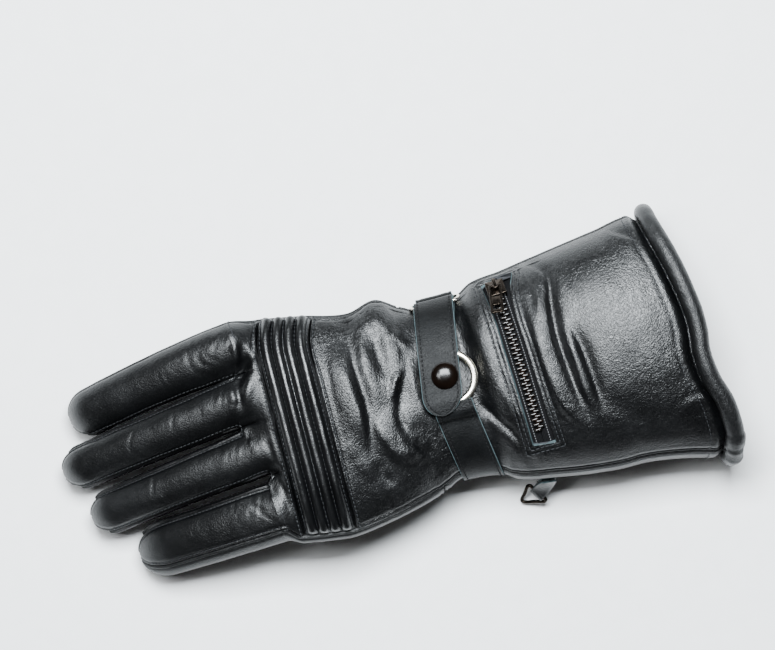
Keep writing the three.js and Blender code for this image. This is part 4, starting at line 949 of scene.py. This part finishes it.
# Wrist strap: places by their arc length round the wrist from the middle of its top
strap = {
    "x": 28,
    "thick": 1.6,
    "half": 10.1,
    "keeperHalf": 9.4,
    "layerLow": 1.4,
    "layerHigh": 4.8,
    "layerTop": 6.7,
    "turnRadius": 2.17,
    "barHeight": 3.57,
    "barRadius": 0.9,
    "barBend": 1.6,
    "barGap": 0.9,
    "loopWide": 6.6,
    "toLoop": (20, 3),  # how far before the loop the upper layer rises to it
    "toTip": (-4.2, 4.0),  # and the y between which it rises to its tip
    "toTop": (9.5, 5),  # how far from its end the lower strap rises
    "ringMiddle": (25.6, 6.8),
    "ringOuter": 13.9,
    "ringWire": 1.25,
    "ringFlat": (1.45, 0.78),  # its wire's width and height in radii
    "ringLift": 2.1,
    "step": 0.45,
    "seam": 1.9,  # from the edge to the stitches
    "tip": 9.5,  # how far back the tongue starts to round
    "tipRow": (9.6, 8.2),  # how far back its stitches do, and their radius there
    "upper": 0.36,  # the share of the tongue's path before its upper layer
}
wristTurns = np.arange(-60, 252, 2.0)
wristLine = bodyPoint(np.full_like(wristTurns, strap["x"]), wristTurns)
wristArcs = np.concatenate([[0], np.cumsum(np.linalg.norm(np.diff(wristLine, axis=0), axis=1))])
wristArcs -= np.interp(90, wristTurns, wristArcs)
arcTable = {"angle": wristTurns, "arc": wristArcs}


def arcOf(angle):
    return float(curve(arcTable, "angle", "arc", angle))


def arcAtY(y):
    return arcOf(bodyAngle(strap["x"], y))


def onWrist(x, arc, height, level, stiff):
    # the body's outline pushed out by a height; a stiff strap keeps to the outline at its middle, the level
    point = bodyPoint(mix(x, level, stiff), curve(arcTable, "arc", "angle", arc), -height)
    point[..., 0] = x
    return point


# a strap's outline: the share of the half width, how far in and how far up
strapEdge = [(1, 0.08, 0.84), (1, 0, 0.4), (1, 0, -0.5)]
strapOutline = np.array([(t, 0.3, 1.0) for t in np.linspace(-1, 1, 41)] + strapEdge
                        + [(t, 0.15, -1.0) for t in np.linspace(1, -1, 21)]
                        + [(-share, inset, up) for share, inset, up in strapEdge[::-1]])
strapLooks = np.zeros(len(strapOutline), int)
strapLooks[40:44] = strapLooks[64:68] = 1  # the columns of its raw edges


def strapPlace(rows, aside, up):  # aside and up may have a column for each place across the strap
    arc, height, way, middle, _, stiff, face = (v[:, None] if v.ndim == 1 else v for v in rows)
    rise = up * face
    return onWrist(middle + aside, arc - way[:, 1:2] * rise, height + way[:, 0:1] * rise, middle, stiff)


def makeStrap(name, part, path, middleX, half, stiff, face):
    # a band with rounded raw edges, drawn in along its stitches and slightly wavy; face is its outer side
    path = resample(np.concatenate(path), strap["step"], columns=2)
    share, (arc, height) = np.arange(len(path)) / len(path), path.T
    rows = (arc, height, unit(np.gradient(path, axis=0)), middleX(arc), half(arc, share), stiff(share),
            face + 0 * share)
    share, inset, up = strapOutline.T[:, None, :]
    half, arc = rows[4][:, None], arc[:, None]
    aside = share * np.maximum(half - inset, 0.02)
    wave = 0.09 * ripple(arc + 0 * aside, aside, 6, 7, 21) + 0.03 * ripple(arc + 0 * aside, aside, 7, 0.9, 22)
    drawn = bells(half - np.abs(aside), [(-0.18, strap["seam"], 0.5)]) * (up > 0.9)
    grid = strapPlace(rows, aside, up * strap["thick"] / 2 + wave + drawn)
    gridMesh(name, part, [grid], [strapHide, cutHide], False, strapLooks, 40)
    return rows


loopArc, tongueEnd, lowerStart, keeperEnd = arcOf(163.0), arcAtY(-9.2), arcAtY(-4.6), arcOf(236.0)
keeperArc = loopArc + strap["loopWide"]


def tongueX(arc):
    return 20.2 + 0.165 * np.asarray(arc)


def tongueHeight(arc):
    byLoop = smooth(arc, *(loopArc - away for away in strap["toLoop"]))
    byTip = 1 - smooth(arc, *map(arcAtY, strap["toTip"]))
    high, loop = strap["layerHigh"], strap["barHeight"] + strap["turnRadius"]
    return high + byLoop * (loop - high) + byTip * (strap["layerTop"] - high)


def turnRound(barArc, way):
    turn = np.radians(np.linspace(-90, 90, 11))
    return np.stack([barArc + way * strap["turnRadius"] * np.cos(turn),
                     strap["barHeight"] + strap["turnRadius"] * np.sin(turn)], -1)


def run(start, end, height):
    arc = np.linspace(start, end, max(int(abs(end - start) / 2), 2))
    return np.stack([arc, height(arc) + 0 * arc], -1)


def layerLow(arc):
    return strap["layerLow"]


def tongueHalf(arc, share):
    left = np.clip((arc - tongueEnd) / strap["tip"], 0, 1)
    return np.where(share < 0.4, strap["half"], strap["half"] * np.sqrt(np.maximum(1 - (1 - left) ** 2, 0)))


tip = tongueEnd + np.array([1.6, 0.8, 0.3, 0.06])
tonguePath = [
    run(arcAtY(strap["ringMiddle"][1] + strap["ringOuter"]) + 1.2, loopArc - 2, layerLow),
    turnRound(loopArc, 1),
    run(loopArc - 2, tongueEnd + 3, tongueHeight),
    np.stack([tip, tongueHeight(tip)], -1),
]
tongueRows = makeStrap("strap_tongue_band", "strap_tongue", tonguePath, tongueX, tongueHalf,
                       lambda share: 0.75 * smooth(share, 0.12, 0.34), -1)


def lowerHeight(arc):
    rise = smooth(arc, *(lowerStart - away for away in strap["toTop"]))
    return mix(strap["layerLow"], strap["layerHigh"], rise)


lowerRows = makeStrap("strap_lower_band", "strap_lower", [run(lowerStart, arcOf(-26.0), lowerHeight)],
                      lambda arc: 22.8 + 8.4 * smooth(lowerStart - arc, -18, 60),
                      lambda arc, share: np.full_like(arc, strap["half"]), lambda share: 0.3 + 0 * share, -1)
loopX = float(tongueX(loopArc)) + 0.6


def keeperFall(arc):
    low, high = strap["layerLow"] + strap["thick"] + 0.3, strap["barHeight"] + strap["turnRadius"]
    return mix(high, low, smooth(arc, keeperArc + 2, keeperArc + 10))


keeperPath = [
    run(keeperEnd, keeperArc + 2, layerLow),
    turnRound(keeperArc, -1),
    run(keeperArc + 3, keeperEnd, keeperFall),
]
makeStrap("loop_keeper_band", "loop_keeper", keeperPath, lambda arc: np.full_like(arc, loopX),
          lambda arc, share: np.full_like(arc, strap["keeperHalf"]),
          lambda share: 0.75 * smooth(share, 0.25, 0.45) * smooth(-share, -0.8, -0.6), 1)
print("straps ready")


# Metal: a frame on the body's top, with along towards the thumb, side towards the mouth and out
def frameOn(x, y, lean=0.0):
    angle = float(bodyAngle(x, y))
    along = unit(bodyPoint(x, angle + 1) - bodyPoint(x, angle - 1))
    side = np.array([1.0, 0, 0])
    out = unit(np.cross(side, along))
    c, s = math.cos(math.radians(lean)), math.sin(math.radians(lean))
    turned = c * side + s * np.cross(out, side)
    return bodyPoint(x, angle), turned, np.cross(out, turned), out


def inFrame(place, points, lift=0.0):
    at, side, along, out = place
    return at + points[..., 0:1] * side + points[..., 1:2] * along + (points[..., 2:3] + lift) * out


ringFrame = frameOn(*strap["ringMiddle"])
ringFlat = circle(strap["ringOuter"] - strap["ringWire"], 120)
ringPath = inFrame(ringFrame, np.pad(ringFlat, ((0, 0), (0, 1))), strap["ringLift"])
ring = sweep(ringPath, unit(ringPath - ringPath.mean(0)), np.broadcast_to(ringFrame[3], ringPath.shape),
             circle(strap["ringWire"], 18) * strap["ringFlat"])
gridMesh("strap_ring_wire", "strap_ring", ring, [silver], True, sharp=40)

# The four-sided loop: one long side in the tongue's turn and one in the keeper's, with bent corners
loopWay, bend = loopX + strap["half"] + strap["barRadius"] + strap["barGap"], strap["barBend"]
corner = [(loopWay - bend, loopArc), (loopWay, loopArc + bend), (loopWay, keeperArc - bend),
          (loopWay - bend, keeperArc)]
half = [*corner, *[(loopX + d, keeperArc) for d in (6, 0, -6)]]
outline = half + [(2 * loopX - x, loopArc + keeperArc - a) for x, a in half]
loopPath = resample([onWrist(x, a, strap["barHeight"], loopX, 0.75) for x, a in outline], 0.5, True)
loop = wire(loopPath, strap["barRadius"])
gridMesh("strap_loop_wire", "strap_loop", loop, [silver], True, sharp=40)

# Snap cap: a low dome turned round its middle, with a rolled rim
capForm = {
    "profile": [(0, 3.1), (1.3, 3.06), (2.6, 2.93), (3.7, 2.7), (4.7, 2.36), (5.5, 1.92), (6.2, 1.4),
                (6.6, 0.95), (6.75, 0.6), (6.66, 0.25), (6.3, 0), (3, 0), (0, 0)],
    "place": (23.8, 8.3),
    "lift": 0.4,
    "step": 0.22,
}
radius, rise = resample(capForm["profile"], capForm["step"], columns=2)[1:-1].T[:, :, None]
flat = np.maximum(radius, 0.0)[..., None] * circle(1.0, 96)
capGrid = np.concatenate([flat, np.repeat(rise, 96, 1)[..., None]], -1)
capLift = float(tongueHeight(arcAtY(capForm["place"][1]))) + strap["thick"] / 2 + capForm["lift"]
gridMesh("snap_dome", "snap_cap", [inFrame(frameOn(*capForm["place"]), capGrid, capLift)],
         [capMetal], sharp=70)
print("strap metal ready")

# Zip: two tapes under the slot, a row of single teeth on each, the slider and its pull
zipForm = {
    "tapeWidth": 7.2,
    "tapeOuter": 3.0,  # below the leather's outer face
    "tapeThick": 0.8,
    "flare": (2.2, 138, 150),  # how much wider it gets, and between which angles
    "part": 0.15,  # from the middle line to a tape
    "cord": 3.5,  # and to the cord stitched on it
    "pitch": 2.7,
    "yLow": -29.4,
    "yHigh": 47.5,
    "low": glove["littleSeam"] + 20.0,
    "high": glove["thumbSeam"] - 0.6,
}
toothForm = {
    "long": 3.7,
    "wide": 1.9,
    "high": 2.3,
    "reach": 0.95,  # how far past the middle line
    "neck": 0.72,  # of the head's width
    "depth": 1.75,  # of its middle below the leather's face
    "rows": 11,
    "around": 16,
}


def tapeGrid(sign):  # a flat band on one side of the zip's line, with a slightly uneven face
    angles = np.linspace(zipForm["low"], zipForm["high"], 220)[:, None]
    across = np.linspace(0, 1, 22)
    flare, *between = zipForm["flare"]
    wide = zipForm["tapeWidth"] + flare * smooth(angles, *between)
    around = zipForm["part"] + np.concatenate([across, across[::-1]]) * wide
    fray = 0.06 * ripple(angles * 3 + 0 * around, around, 1, 1, 31)
    depth = zipForm["tapeOuter"] + 0.05 + np.repeat([0, 1], 22) * (zipForm["tapeThick"] - 0.1) + fray
    return bodyPoint(zipX(angles) + sign * around, angles + 0 * around, depth)


def zipFrames(angle, depth):  # places on the zip's line, the way along it and the way out
    along = unit(bodyPoint(60.0, angle + 0.5) - bodyPoint(60.0, angle - 0.5))
    return bodyPoint(zipX(angle), angle, depth), along, unit(np.cross([1.0, 0, 0], along))


def teeth(sign):
    # rounded blocks that widen towards the middle line, set by turns from either tape
    first = zipForm["yLow"] + (zipForm["pitch"] / 2 if sign > 0 else 0)
    y = np.arange(first, zipForm["yHigh"], zipForm["pitch"])
    at, along, out = (v[:, None, None] for v in zipFrames(bodyAngle(60.0, y), toothForm["depth"]))
    u = np.radians(np.linspace(-90, 90, toothForm["rows"] + 2)[1:-1])[:, None]
    v = np.radians(np.linspace(0, 360, toothForm["around"], endpoint=False))[None, :]
    far, near = signedPower(np.sin(u), 0.5) + 0 * v, signedPower(np.cos(u), 0.55)
    head = mix(toothForm["neck"], 1, smooth(-sign * far, 0.0, 0.7))
    side = near * signedPower(np.cos(v), 0.7) * head * toothForm["wide"] / 2
    rise = near * signedPower(np.sin(v), 0.7) * toothForm["high"] / 2
    reach = far * toothForm["long"] / 2 + sign * (toothForm["long"] / 2 - toothForm["reach"])
    return at + np.array([1.0, 0, 0]) * reach[..., None] + along * side[..., None] + out * rise[..., None]


zipSides = (("wrist", -1), ("mouth", 1))
for side, sign in zipSides:
    gridMesh(f"zip_tape_{side}_band", f"zip_tape_{side}", [tapeGrid(sign)], [tapeCloth])
for side, sign in zipSides:
    gridMesh(f"zip_teeth_{side}_row", f"zip_teeth_{side}", teeth(sign), [toothPlastic])
print("zip ready")


def plateMesh(name, loops, thick, rounding):
    # flat outlines with holes, given thickness and rounded edges as a curve made a mesh
    data = bpy.data.curves.new(name, "CURVE")
    data.dimensions, data.fill_mode = "2D", "BOTH"
    data.extrude, data.bevel_depth, data.bevel_resolution = thick / 2 - rounding, rounding, 3
    data.offset = -rounding
    for loop in loops:
        spline = data.splines.new("POLY")
        spline.points.add(len(loop) - 1)
        spline.points.foreach_set("co", np.array([(x, y, 0, 1) for x, y in loop], float).ravel())
        spline.use_cyclic_u = True
    temporary = addObject(name + "Outline", data)
    bpy.context.view_layer.update()
    made = bpy.data.meshes.new_from_object(temporary)
    bpy.data.objects.remove(temporary)
    made.calc_loop_triangles()
    flat, faces = np.empty(len(made.vertices) * 3), np.empty(len(made.loop_triangles) * 3, np.int64)
    made.vertices.foreach_get("co", flat)
    made.loop_triangles.foreach_get("vertices", faces)
    bpy.data.meshes.remove(made)
    points, faces = mergeClose(flat.reshape(-1, 3), faces.reshape(-1, 3), 0.002)
    return points, outward(points, faces)


def rounded(x0, x1, y0, y1, r, count=6):
    # a rectangle with rounded corners, anticlockwise
    turn = np.linspace(0, math.pi / 2, count)
    corners = [(x1 - r, y1 - r, 0), (x0 + r, y1 - r, 1), (x0 + r, y0 + r, 2), (x1 - r, y0 + r, 3)]
    return [(x + r * math.cos(t + k * math.pi / 2), y + r * math.sin(t + k * math.pi / 2))
            for x, y, k in corners for t in turn]


def solidBox(x0, x1, y0, y1, z0, z1, r):
    # a block whose edges are rounded, as a grid between its lower and upper outline
    rise = [(0.0, r), (0.3 * r, 0.3 * r), (r, 0.0)]
    levels = [(z0 + h, i) for h, i in rise] + [(z1 - h, i) for h, i in rise[::-1]]
    return np.array([[(x, y, z) for x, y in rounded(x0 + i, x1 - i, y0 + i, y1 - i, max(r - i, 0.02) + 0.15)]
                     for z, i in levels])


sliderForm = {
    "place": (float(zipX(150)), 44),
    "lean": 3,
    "pullLean": -7.5,
    "pullLift": 2.5,
    "pullThick": 1.3,
    "pullEdge": 0.22,
    # blocks from low to high x, y and z, with their rounding: the plate, its two side walls and the bridge
    "blocks": [(-4.6, 4.6, -4.8, 4.8, 0.3, 1.4, 0.3), (3.8, 4.6, -4.8, 4.8, -1.9, 0.6, 0.15),
               (-4.6, -3.8, -4.8, 4.8, -1.9, 0.6, 0.15), (-1.0, 1.0, 2.3, 3.2, 1.2, 4.5, 0.2),
               (-1.0, 1.0, -3.2, -2.3, 1.2, 4.5, 0.2), (-1.0, 1.0, -3.2, 3.2, 3.9, 4.8, 0.28)],
    # the pull's outline and its two holes
    "pull": [(-3.2, 3.2, -18, 0.65, 1.0), (-2.0, 2.0, -7.6, -0.65, 0.6), (-1.9, 1.9, -16.1, -12.9, 0.7)],
}
sliderFrame, pullFrame = (frameOn(*sliderForm["place"], sliderForm[key]) for key in ("lean", "pullLean"))
blocks = [inFrame(sliderFrame, solidBox(*block)) for block in sliderForm["blocks"]]
gridMesh("zip_slider_body", "zip_slider", blocks, [darkMetal])
pullLoops = [rounded(*form)[::1 if k == 0 else -1] for k, form in enumerate(sliderForm["pull"])]
points, faces = plateMesh("pullPlate", pullLoops, sliderForm["pullThick"], sliderForm["pullEdge"])
points = inFrame(pullFrame, points, sliderForm["pullLift"])
pull = makeMesh("zip_pull_plate", points, faces, [darkMetal], sharp=35)
settle(pull, "zip_pull", "zip_pull")
print("slider ready")

# Clip at the little-finger side: a tab of leather folded round a three-cornered wire
clip = {
    "start": (51.4, -55.2, 9.4),  # the wire's corners
    "end": (58.6, -66.0, 8.4),
    "tip": (45.4, -63.2, 1.8),
    "radius": 0.95,
    "line": [(61.6, -55.25, 25), (60.6, -56.2, 16), (57.8, -58.6, 12)],  # the tab's, down to the wire
    "thick": 1.2,
    "half": 3.7,
    "gap": 0.3,
}
clipStart, clipEnd, clipTip = (np.array(clip[k]) for k in ("start", "end", "tip"))
control = np.array([*clip["line"], (clipStart + clipEnd) / 2])
tabSpread = clip["radius"] + clip["gap"] + clip["thick"] / 2


def tabLayer(t, side):
    # one of the two layers beside a cubic from the seam to the wire's middle; they part towards the wire
    t = np.asarray(t, float)[:, None]
    at = ((1 - t) ** 3 * control[0] + 3 * (1 - t) ** 2 * t * control[1] + 3 * (1 - t) * t ** 2 * control[2]
          + t ** 3 * control[3])
    way = unit(3 * (1 - t) ** 2 * (control[1] - control[0]) + 6 * (1 - t) * t * (control[2] - control[1])
               + 3 * t ** 2 * (control[3] - control[2]))
    cross = unit(mix(np.array([1, -0.1, 0.0]), unit(clipEnd - clipStart), t))
    normal = unit(np.cross(way, cross))
    return at + normal * side * mix((clip["thick"] + clip["gap"]) / 2, tabSpread, t * t), cross, way, normal


at, cross, way, normal = tabLayer([1.0], 0)
turn = np.radians(np.linspace(90, -90, 15))[:, None]
fold = at + way * tabSpread * np.cos(turn) + normal * tabSpread * np.sin(turn)
near, far = tabLayer(np.linspace(0, 0.92, 24), 1), tabLayer(np.linspace(0.92, 0, 24), -1)
tabPath = np.concatenate([near[0], fold, far[0]])
tabCross = np.concatenate([near[1], np.repeat(cross, 15, 0), far[1]])
tabUp = unit(np.cross(unit(np.gradient(tabPath, axis=0)), tabCross))
across = np.linspace(-1, 1, 15)
tabOutline = np.stack([np.concatenate([across, across[::-1]]) * clip["half"],
                       np.repeat([1.0, -1.0], 15) * clip["thick"] / 2], -1)
tabOutline[[0, 14, 15, 29], 1] *= 0.6
tabLooks = np.isin(np.arange(30), (14, 29)).astype(int)  # the columns of its raw edges
tab = sweep(tabPath, tabCross, tabUp, tabOutline)
gridMesh("clip_tab_band", "clip_tab", tab, [hide, cutHide], False, tabLooks, 40)
corners, clipMarks = [clipStart, clipEnd, clipTip], []
for k, at in enumerate(corners):
    before, after = corners[k - 1], corners[(k + 1) % 3]
    clipMarks += [mix(at, before, 0.12), mix(at, after, 0.12), mix(at, after, 0.5)]
clipWire = wire(resample(clipMarks, 0.5, True), clip["radius"])
gridMesh("clip_loop_wire", "clip_loop", clipWire, [darkMetal], True, sharp=40)
print("clip ready")

# Stitches: short arched threads laid along rows on the finished surfaces
stitch = {"pitch": 2.55, "long": 1.95, "radius": 0.26, "arch": 0.2, "lift": 0.06}
seamRow, cutRows = panelForm["seam"][2][1], [row[1] for row in panelForm["cut"][1:]]  # their troughs


def threads(rows, form):
    # each row is a path and the way out along it; a capsule is bent over each stitch's place
    grids = []
    u = np.array([-1, -0.92, -0.72, -0.36, 0, 0.36, 0.72, 0.92, 1.0])
    thick = form["radius"] * np.array([0.3, 0.72, 0.95, 1, 1, 1, 0.95, 0.72, 0.3])[:, None]
    v = np.linspace(0, 2 * math.pi, 8, endpoint=False)[None, :]
    lean, wide = (u * form["long"] / 2)[:, None] + 0 * v, thick * np.cos(v)
    rise = (form["lift"] + form["arch"] * (1 - u ** 2))[:, None] + thick * np.sin(v)
    for path, out in rows:
        both = resample(np.concatenate([path, out], 1), form["pitch"])
        at, up = both[:, :3], unit(both[:, 3:])
        way = unit(np.gradient(at, axis=0))
        at, way, side, up = (w[:, None, None] for w in (at, way, unit(np.cross(way, up)), up))
        grids.append(at + way * lean[..., None] + side * wide[..., None] + up * rise[..., None])
    grids = np.concatenate(grids)
    return grids[grids[..., 2].min((1, 2)) > 0.1]  # none where the leather rests


def sew(name, rows, look=thread, **changes):
    gridMesh(name, None, threads(rows, {**stitch, **changes}), [look])


fingerRows, offSeam = [], 9.5  # degrees round a finger that stand for the row's distance from its seam
down, up = np.linspace(0.9, 0.0, 60), np.linspace(0.0, 0.9, 60)[1:]
for number, (first, second) in enumerate(zip(fingers, fingers[1:])):
    fingerRows.append(np.concatenate([fingerPoint(number, down, first["lowSeam"] + offSeam),
                                      fingerPoint(number + 1, up, second["highSeam"] - offSeam)]))
fingerRows.append(fingerPoint(3, np.linspace(0.93, 0, 60), fingers[3]["lowSeam"] + 7.5))
sew("finger_stitches", [lieOn("hand_back_shell", row) for row in fingerRows], pitch=2.2, long=1.6, radius=0.2)

knuckleRow, turns = [], rootTurns(False, 0.3)
for number, finger in enumerate(fingers):
    t = np.linspace(0 if number else 0.02, 1 if number < 3 else 0.98, 24)
    spans = turns[number:number + 2], (finger["highSeam"], finger["lowSeam"])
    span = np.linalg.norm(knucklePoint(number, 1, t, *spans) - knucklePoint(number, 0, t, *spans), axis=1)
    knuckleRow.append(knucklePoint(number, seamRow / span, t, *spans)[:-1])
angles = np.linspace(glove["thumbSeam"] - 2, glove["littleSeam"] + 2, 120)
cuffRow = bodyPoint(bodyForm["ribEnd"] + seamRow + edgeBend(angles), angles)
panelRows = [lieOn("hand_back_shell", np.concatenate(knuckleRow)), lieOn("gauntlet_back_shell", cuffRow)]
sew("panel_stitches", panelRows, pitch=2.3, long=1.6, radius=0.3)

ribShares = ribs["margin"] + (1 - 2 * ribs["margin"]) * np.arange(ribs["count"] + 1) / ribs["count"]
sew("rib_stitches", [lieOn("ribbed_panel", bodyPoint(ribX(share, angles), angles)) for share in ribShares],
    pitch=2.4, long=1.7, radius=0.2, lift=0.0)


def besideSlot(away):
    # a row round the zip's slot: down its wrist side, across its lower end and up its mouth side
    end = zipSlot["y"][0]
    y = np.linspace(47, end - away, 70)
    left = np.stack([curve(zipSlot, "y", "left", y) - away, y], -1)
    x = np.linspace(left[-1, 0], zipSlot["right"][0] + away, 16)[1:-1]
    base = np.stack([x, end - away + 0.025 * (x - x[0])], -1)
    y = np.linspace(end - away, 50.5, 70)
    right = np.stack([curve(zipSlot, "y", "right", y) + away, y], -1)
    x, y = np.concatenate([left, base, right]).T
    return bodyPoint(x, bodyAngle(x, y))


sew("zip_stitches", [lieOn("gauntlet_back_shell", besideSlot(away)) for away in cutRows])
angles = np.linspace(zipForm["low"] + 1, zipForm["high"] - 2, 200)
tapeOut, tapeTop = zipFrames(angles, 0)[2], zipForm["tapeOuter"] + 0.1
cordRows = [(bodyPoint(zipX(angles) + aside, angles, tapeTop), tapeOut)
            for aside in (-zipForm["cord"], zipForm["cord"])]
sew("zip_cord_rows", cordRows, cordThread, pitch=1.35, long=0.85, radius=0.24, arch=0.1, lift=0.1)
hemRows = []
for name, low, high in (("gauntlet_back_shell", glove["littleSeam"] + 3, glove["thumbSeam"] - 3),
                        ("gauntlet_palm_shell", glove["thumbSeam"] + 3, 360 + glove["littleSeam"] - 3)):
    angles = np.linspace(low, high, 160)
    hemRows.append(lieOn(name, bodyPoint(hemX(angles) - hem["radius"] - hem["row"], angles)))
sew("hem_stitches", hemRows, pitch=2.4, long=1.7, radius=0.22)


def strapRow(rows, aside):  # a row on the strap's upper face
    path, above = (strapPlace(rows, aside[:, None], strap["thick"] / 2 + up)[:, 0] for up in (-0.1, 1.0))
    return path, unit(above - path)


# The tongue's row runs along both edges of its upper layer and round its tip
shown = np.arange(len(tongueRows[0])) > strap["upper"] * len(tongueRows[0])
shown &= tongueRows[0] > tongueEnd + strap["seam"]
upperRows = [v[shown] for v in tongueRows]
tipLong, tipRadius = strap["tipRow"]
fromTip = np.maximum(tongueEnd + tipLong - upperRows[0], 0)
inset = np.minimum(upperRows[4] - strap["seam"], np.sqrt(np.maximum(tipRadius ** 2 - fromTip ** 2, 0)))
inset = np.maximum(inset, 0.01)
one, other = strapRow(upperRows, inset), strapRow(upperRows, -inset)
tongueLoop = [np.concatenate([there, back[::-1]]) for there, back in zip(one, other)]
inset = lowerRows[4] - strap["seam"]
sew("strap_stitches", [tongueLoop, strapRow(lowerRows, inset), strapRow(lowerRows, -inset)], strapThreadPaintedShade,
    pitch=2.2, long=1.5, radius=0.27, arch=0.12)
print("stitches ready")

# The picture: camera, light and floor
lens = bpy.data.cameras.new("camera")
lens.lens, lens.sensor_width, lens.clip_end = 278.7, 36, 20
camera = addObject("camera", lens)
camera.location, camera.rotation_euler = (0.00895, 0.04225, 3.03), (0, 0, math.radians(-14.5))
bpy.context.scene.camera = camera


def softLight(name, place, aim, size, power, colour):
    lamp = bpy.data.lights.new(name, "AREA")
    lamp.shape, lamp.size, lamp.size_y, lamp.energy, lamp.color = "RECTANGLE", *size, power, colour
    holder = addObject(name, lamp)
    holder.location = place
    holder.rotation_euler = (Vector(aim) - Vector(place)).to_track_quat("-Z", "Y").to_euler()


softLight("topBox", (0.09, 0.47, 1.3), (0.02, 0, 0.03), (0.72, 0.48), 82, (0.9, 0.96, 1))
softLight("leftBox", (-0.5, 0.3, 1.3), (0.0, 0, 0.02), (0.35, 0.4), 9, (0.95, 0.98, 1))
world = bpy.data.worlds.new("room")
world.use_nodes = True
room = world.node_tree.nodes["Background"]
room.inputs["Color"].default_value, room.inputs["Strength"].default_value = (1, 1, 1, 1), 0.05
bpy.context.scene.world = world

paper = Finish("paper", Roughness=0.9, Specular_IOR_Level=0.2)  # its tone is slow noise
paper.colour(paper.noise(90.0, 6.0), 0.3, 0.7, (0.9, 0.9, 0.9), (0.93, 0.93, 0.93))
sheet = bpy.data.meshes.new("floor")
sheet.from_pydata([(-3, -3, 0), (3, -3, 0), (3, 3, 0), (-3, 3, 0)], [], [(0, 1, 2, 3)])
sheet.materials.append(paper.material)
addObject("floor", sheet)

print("scene ready")
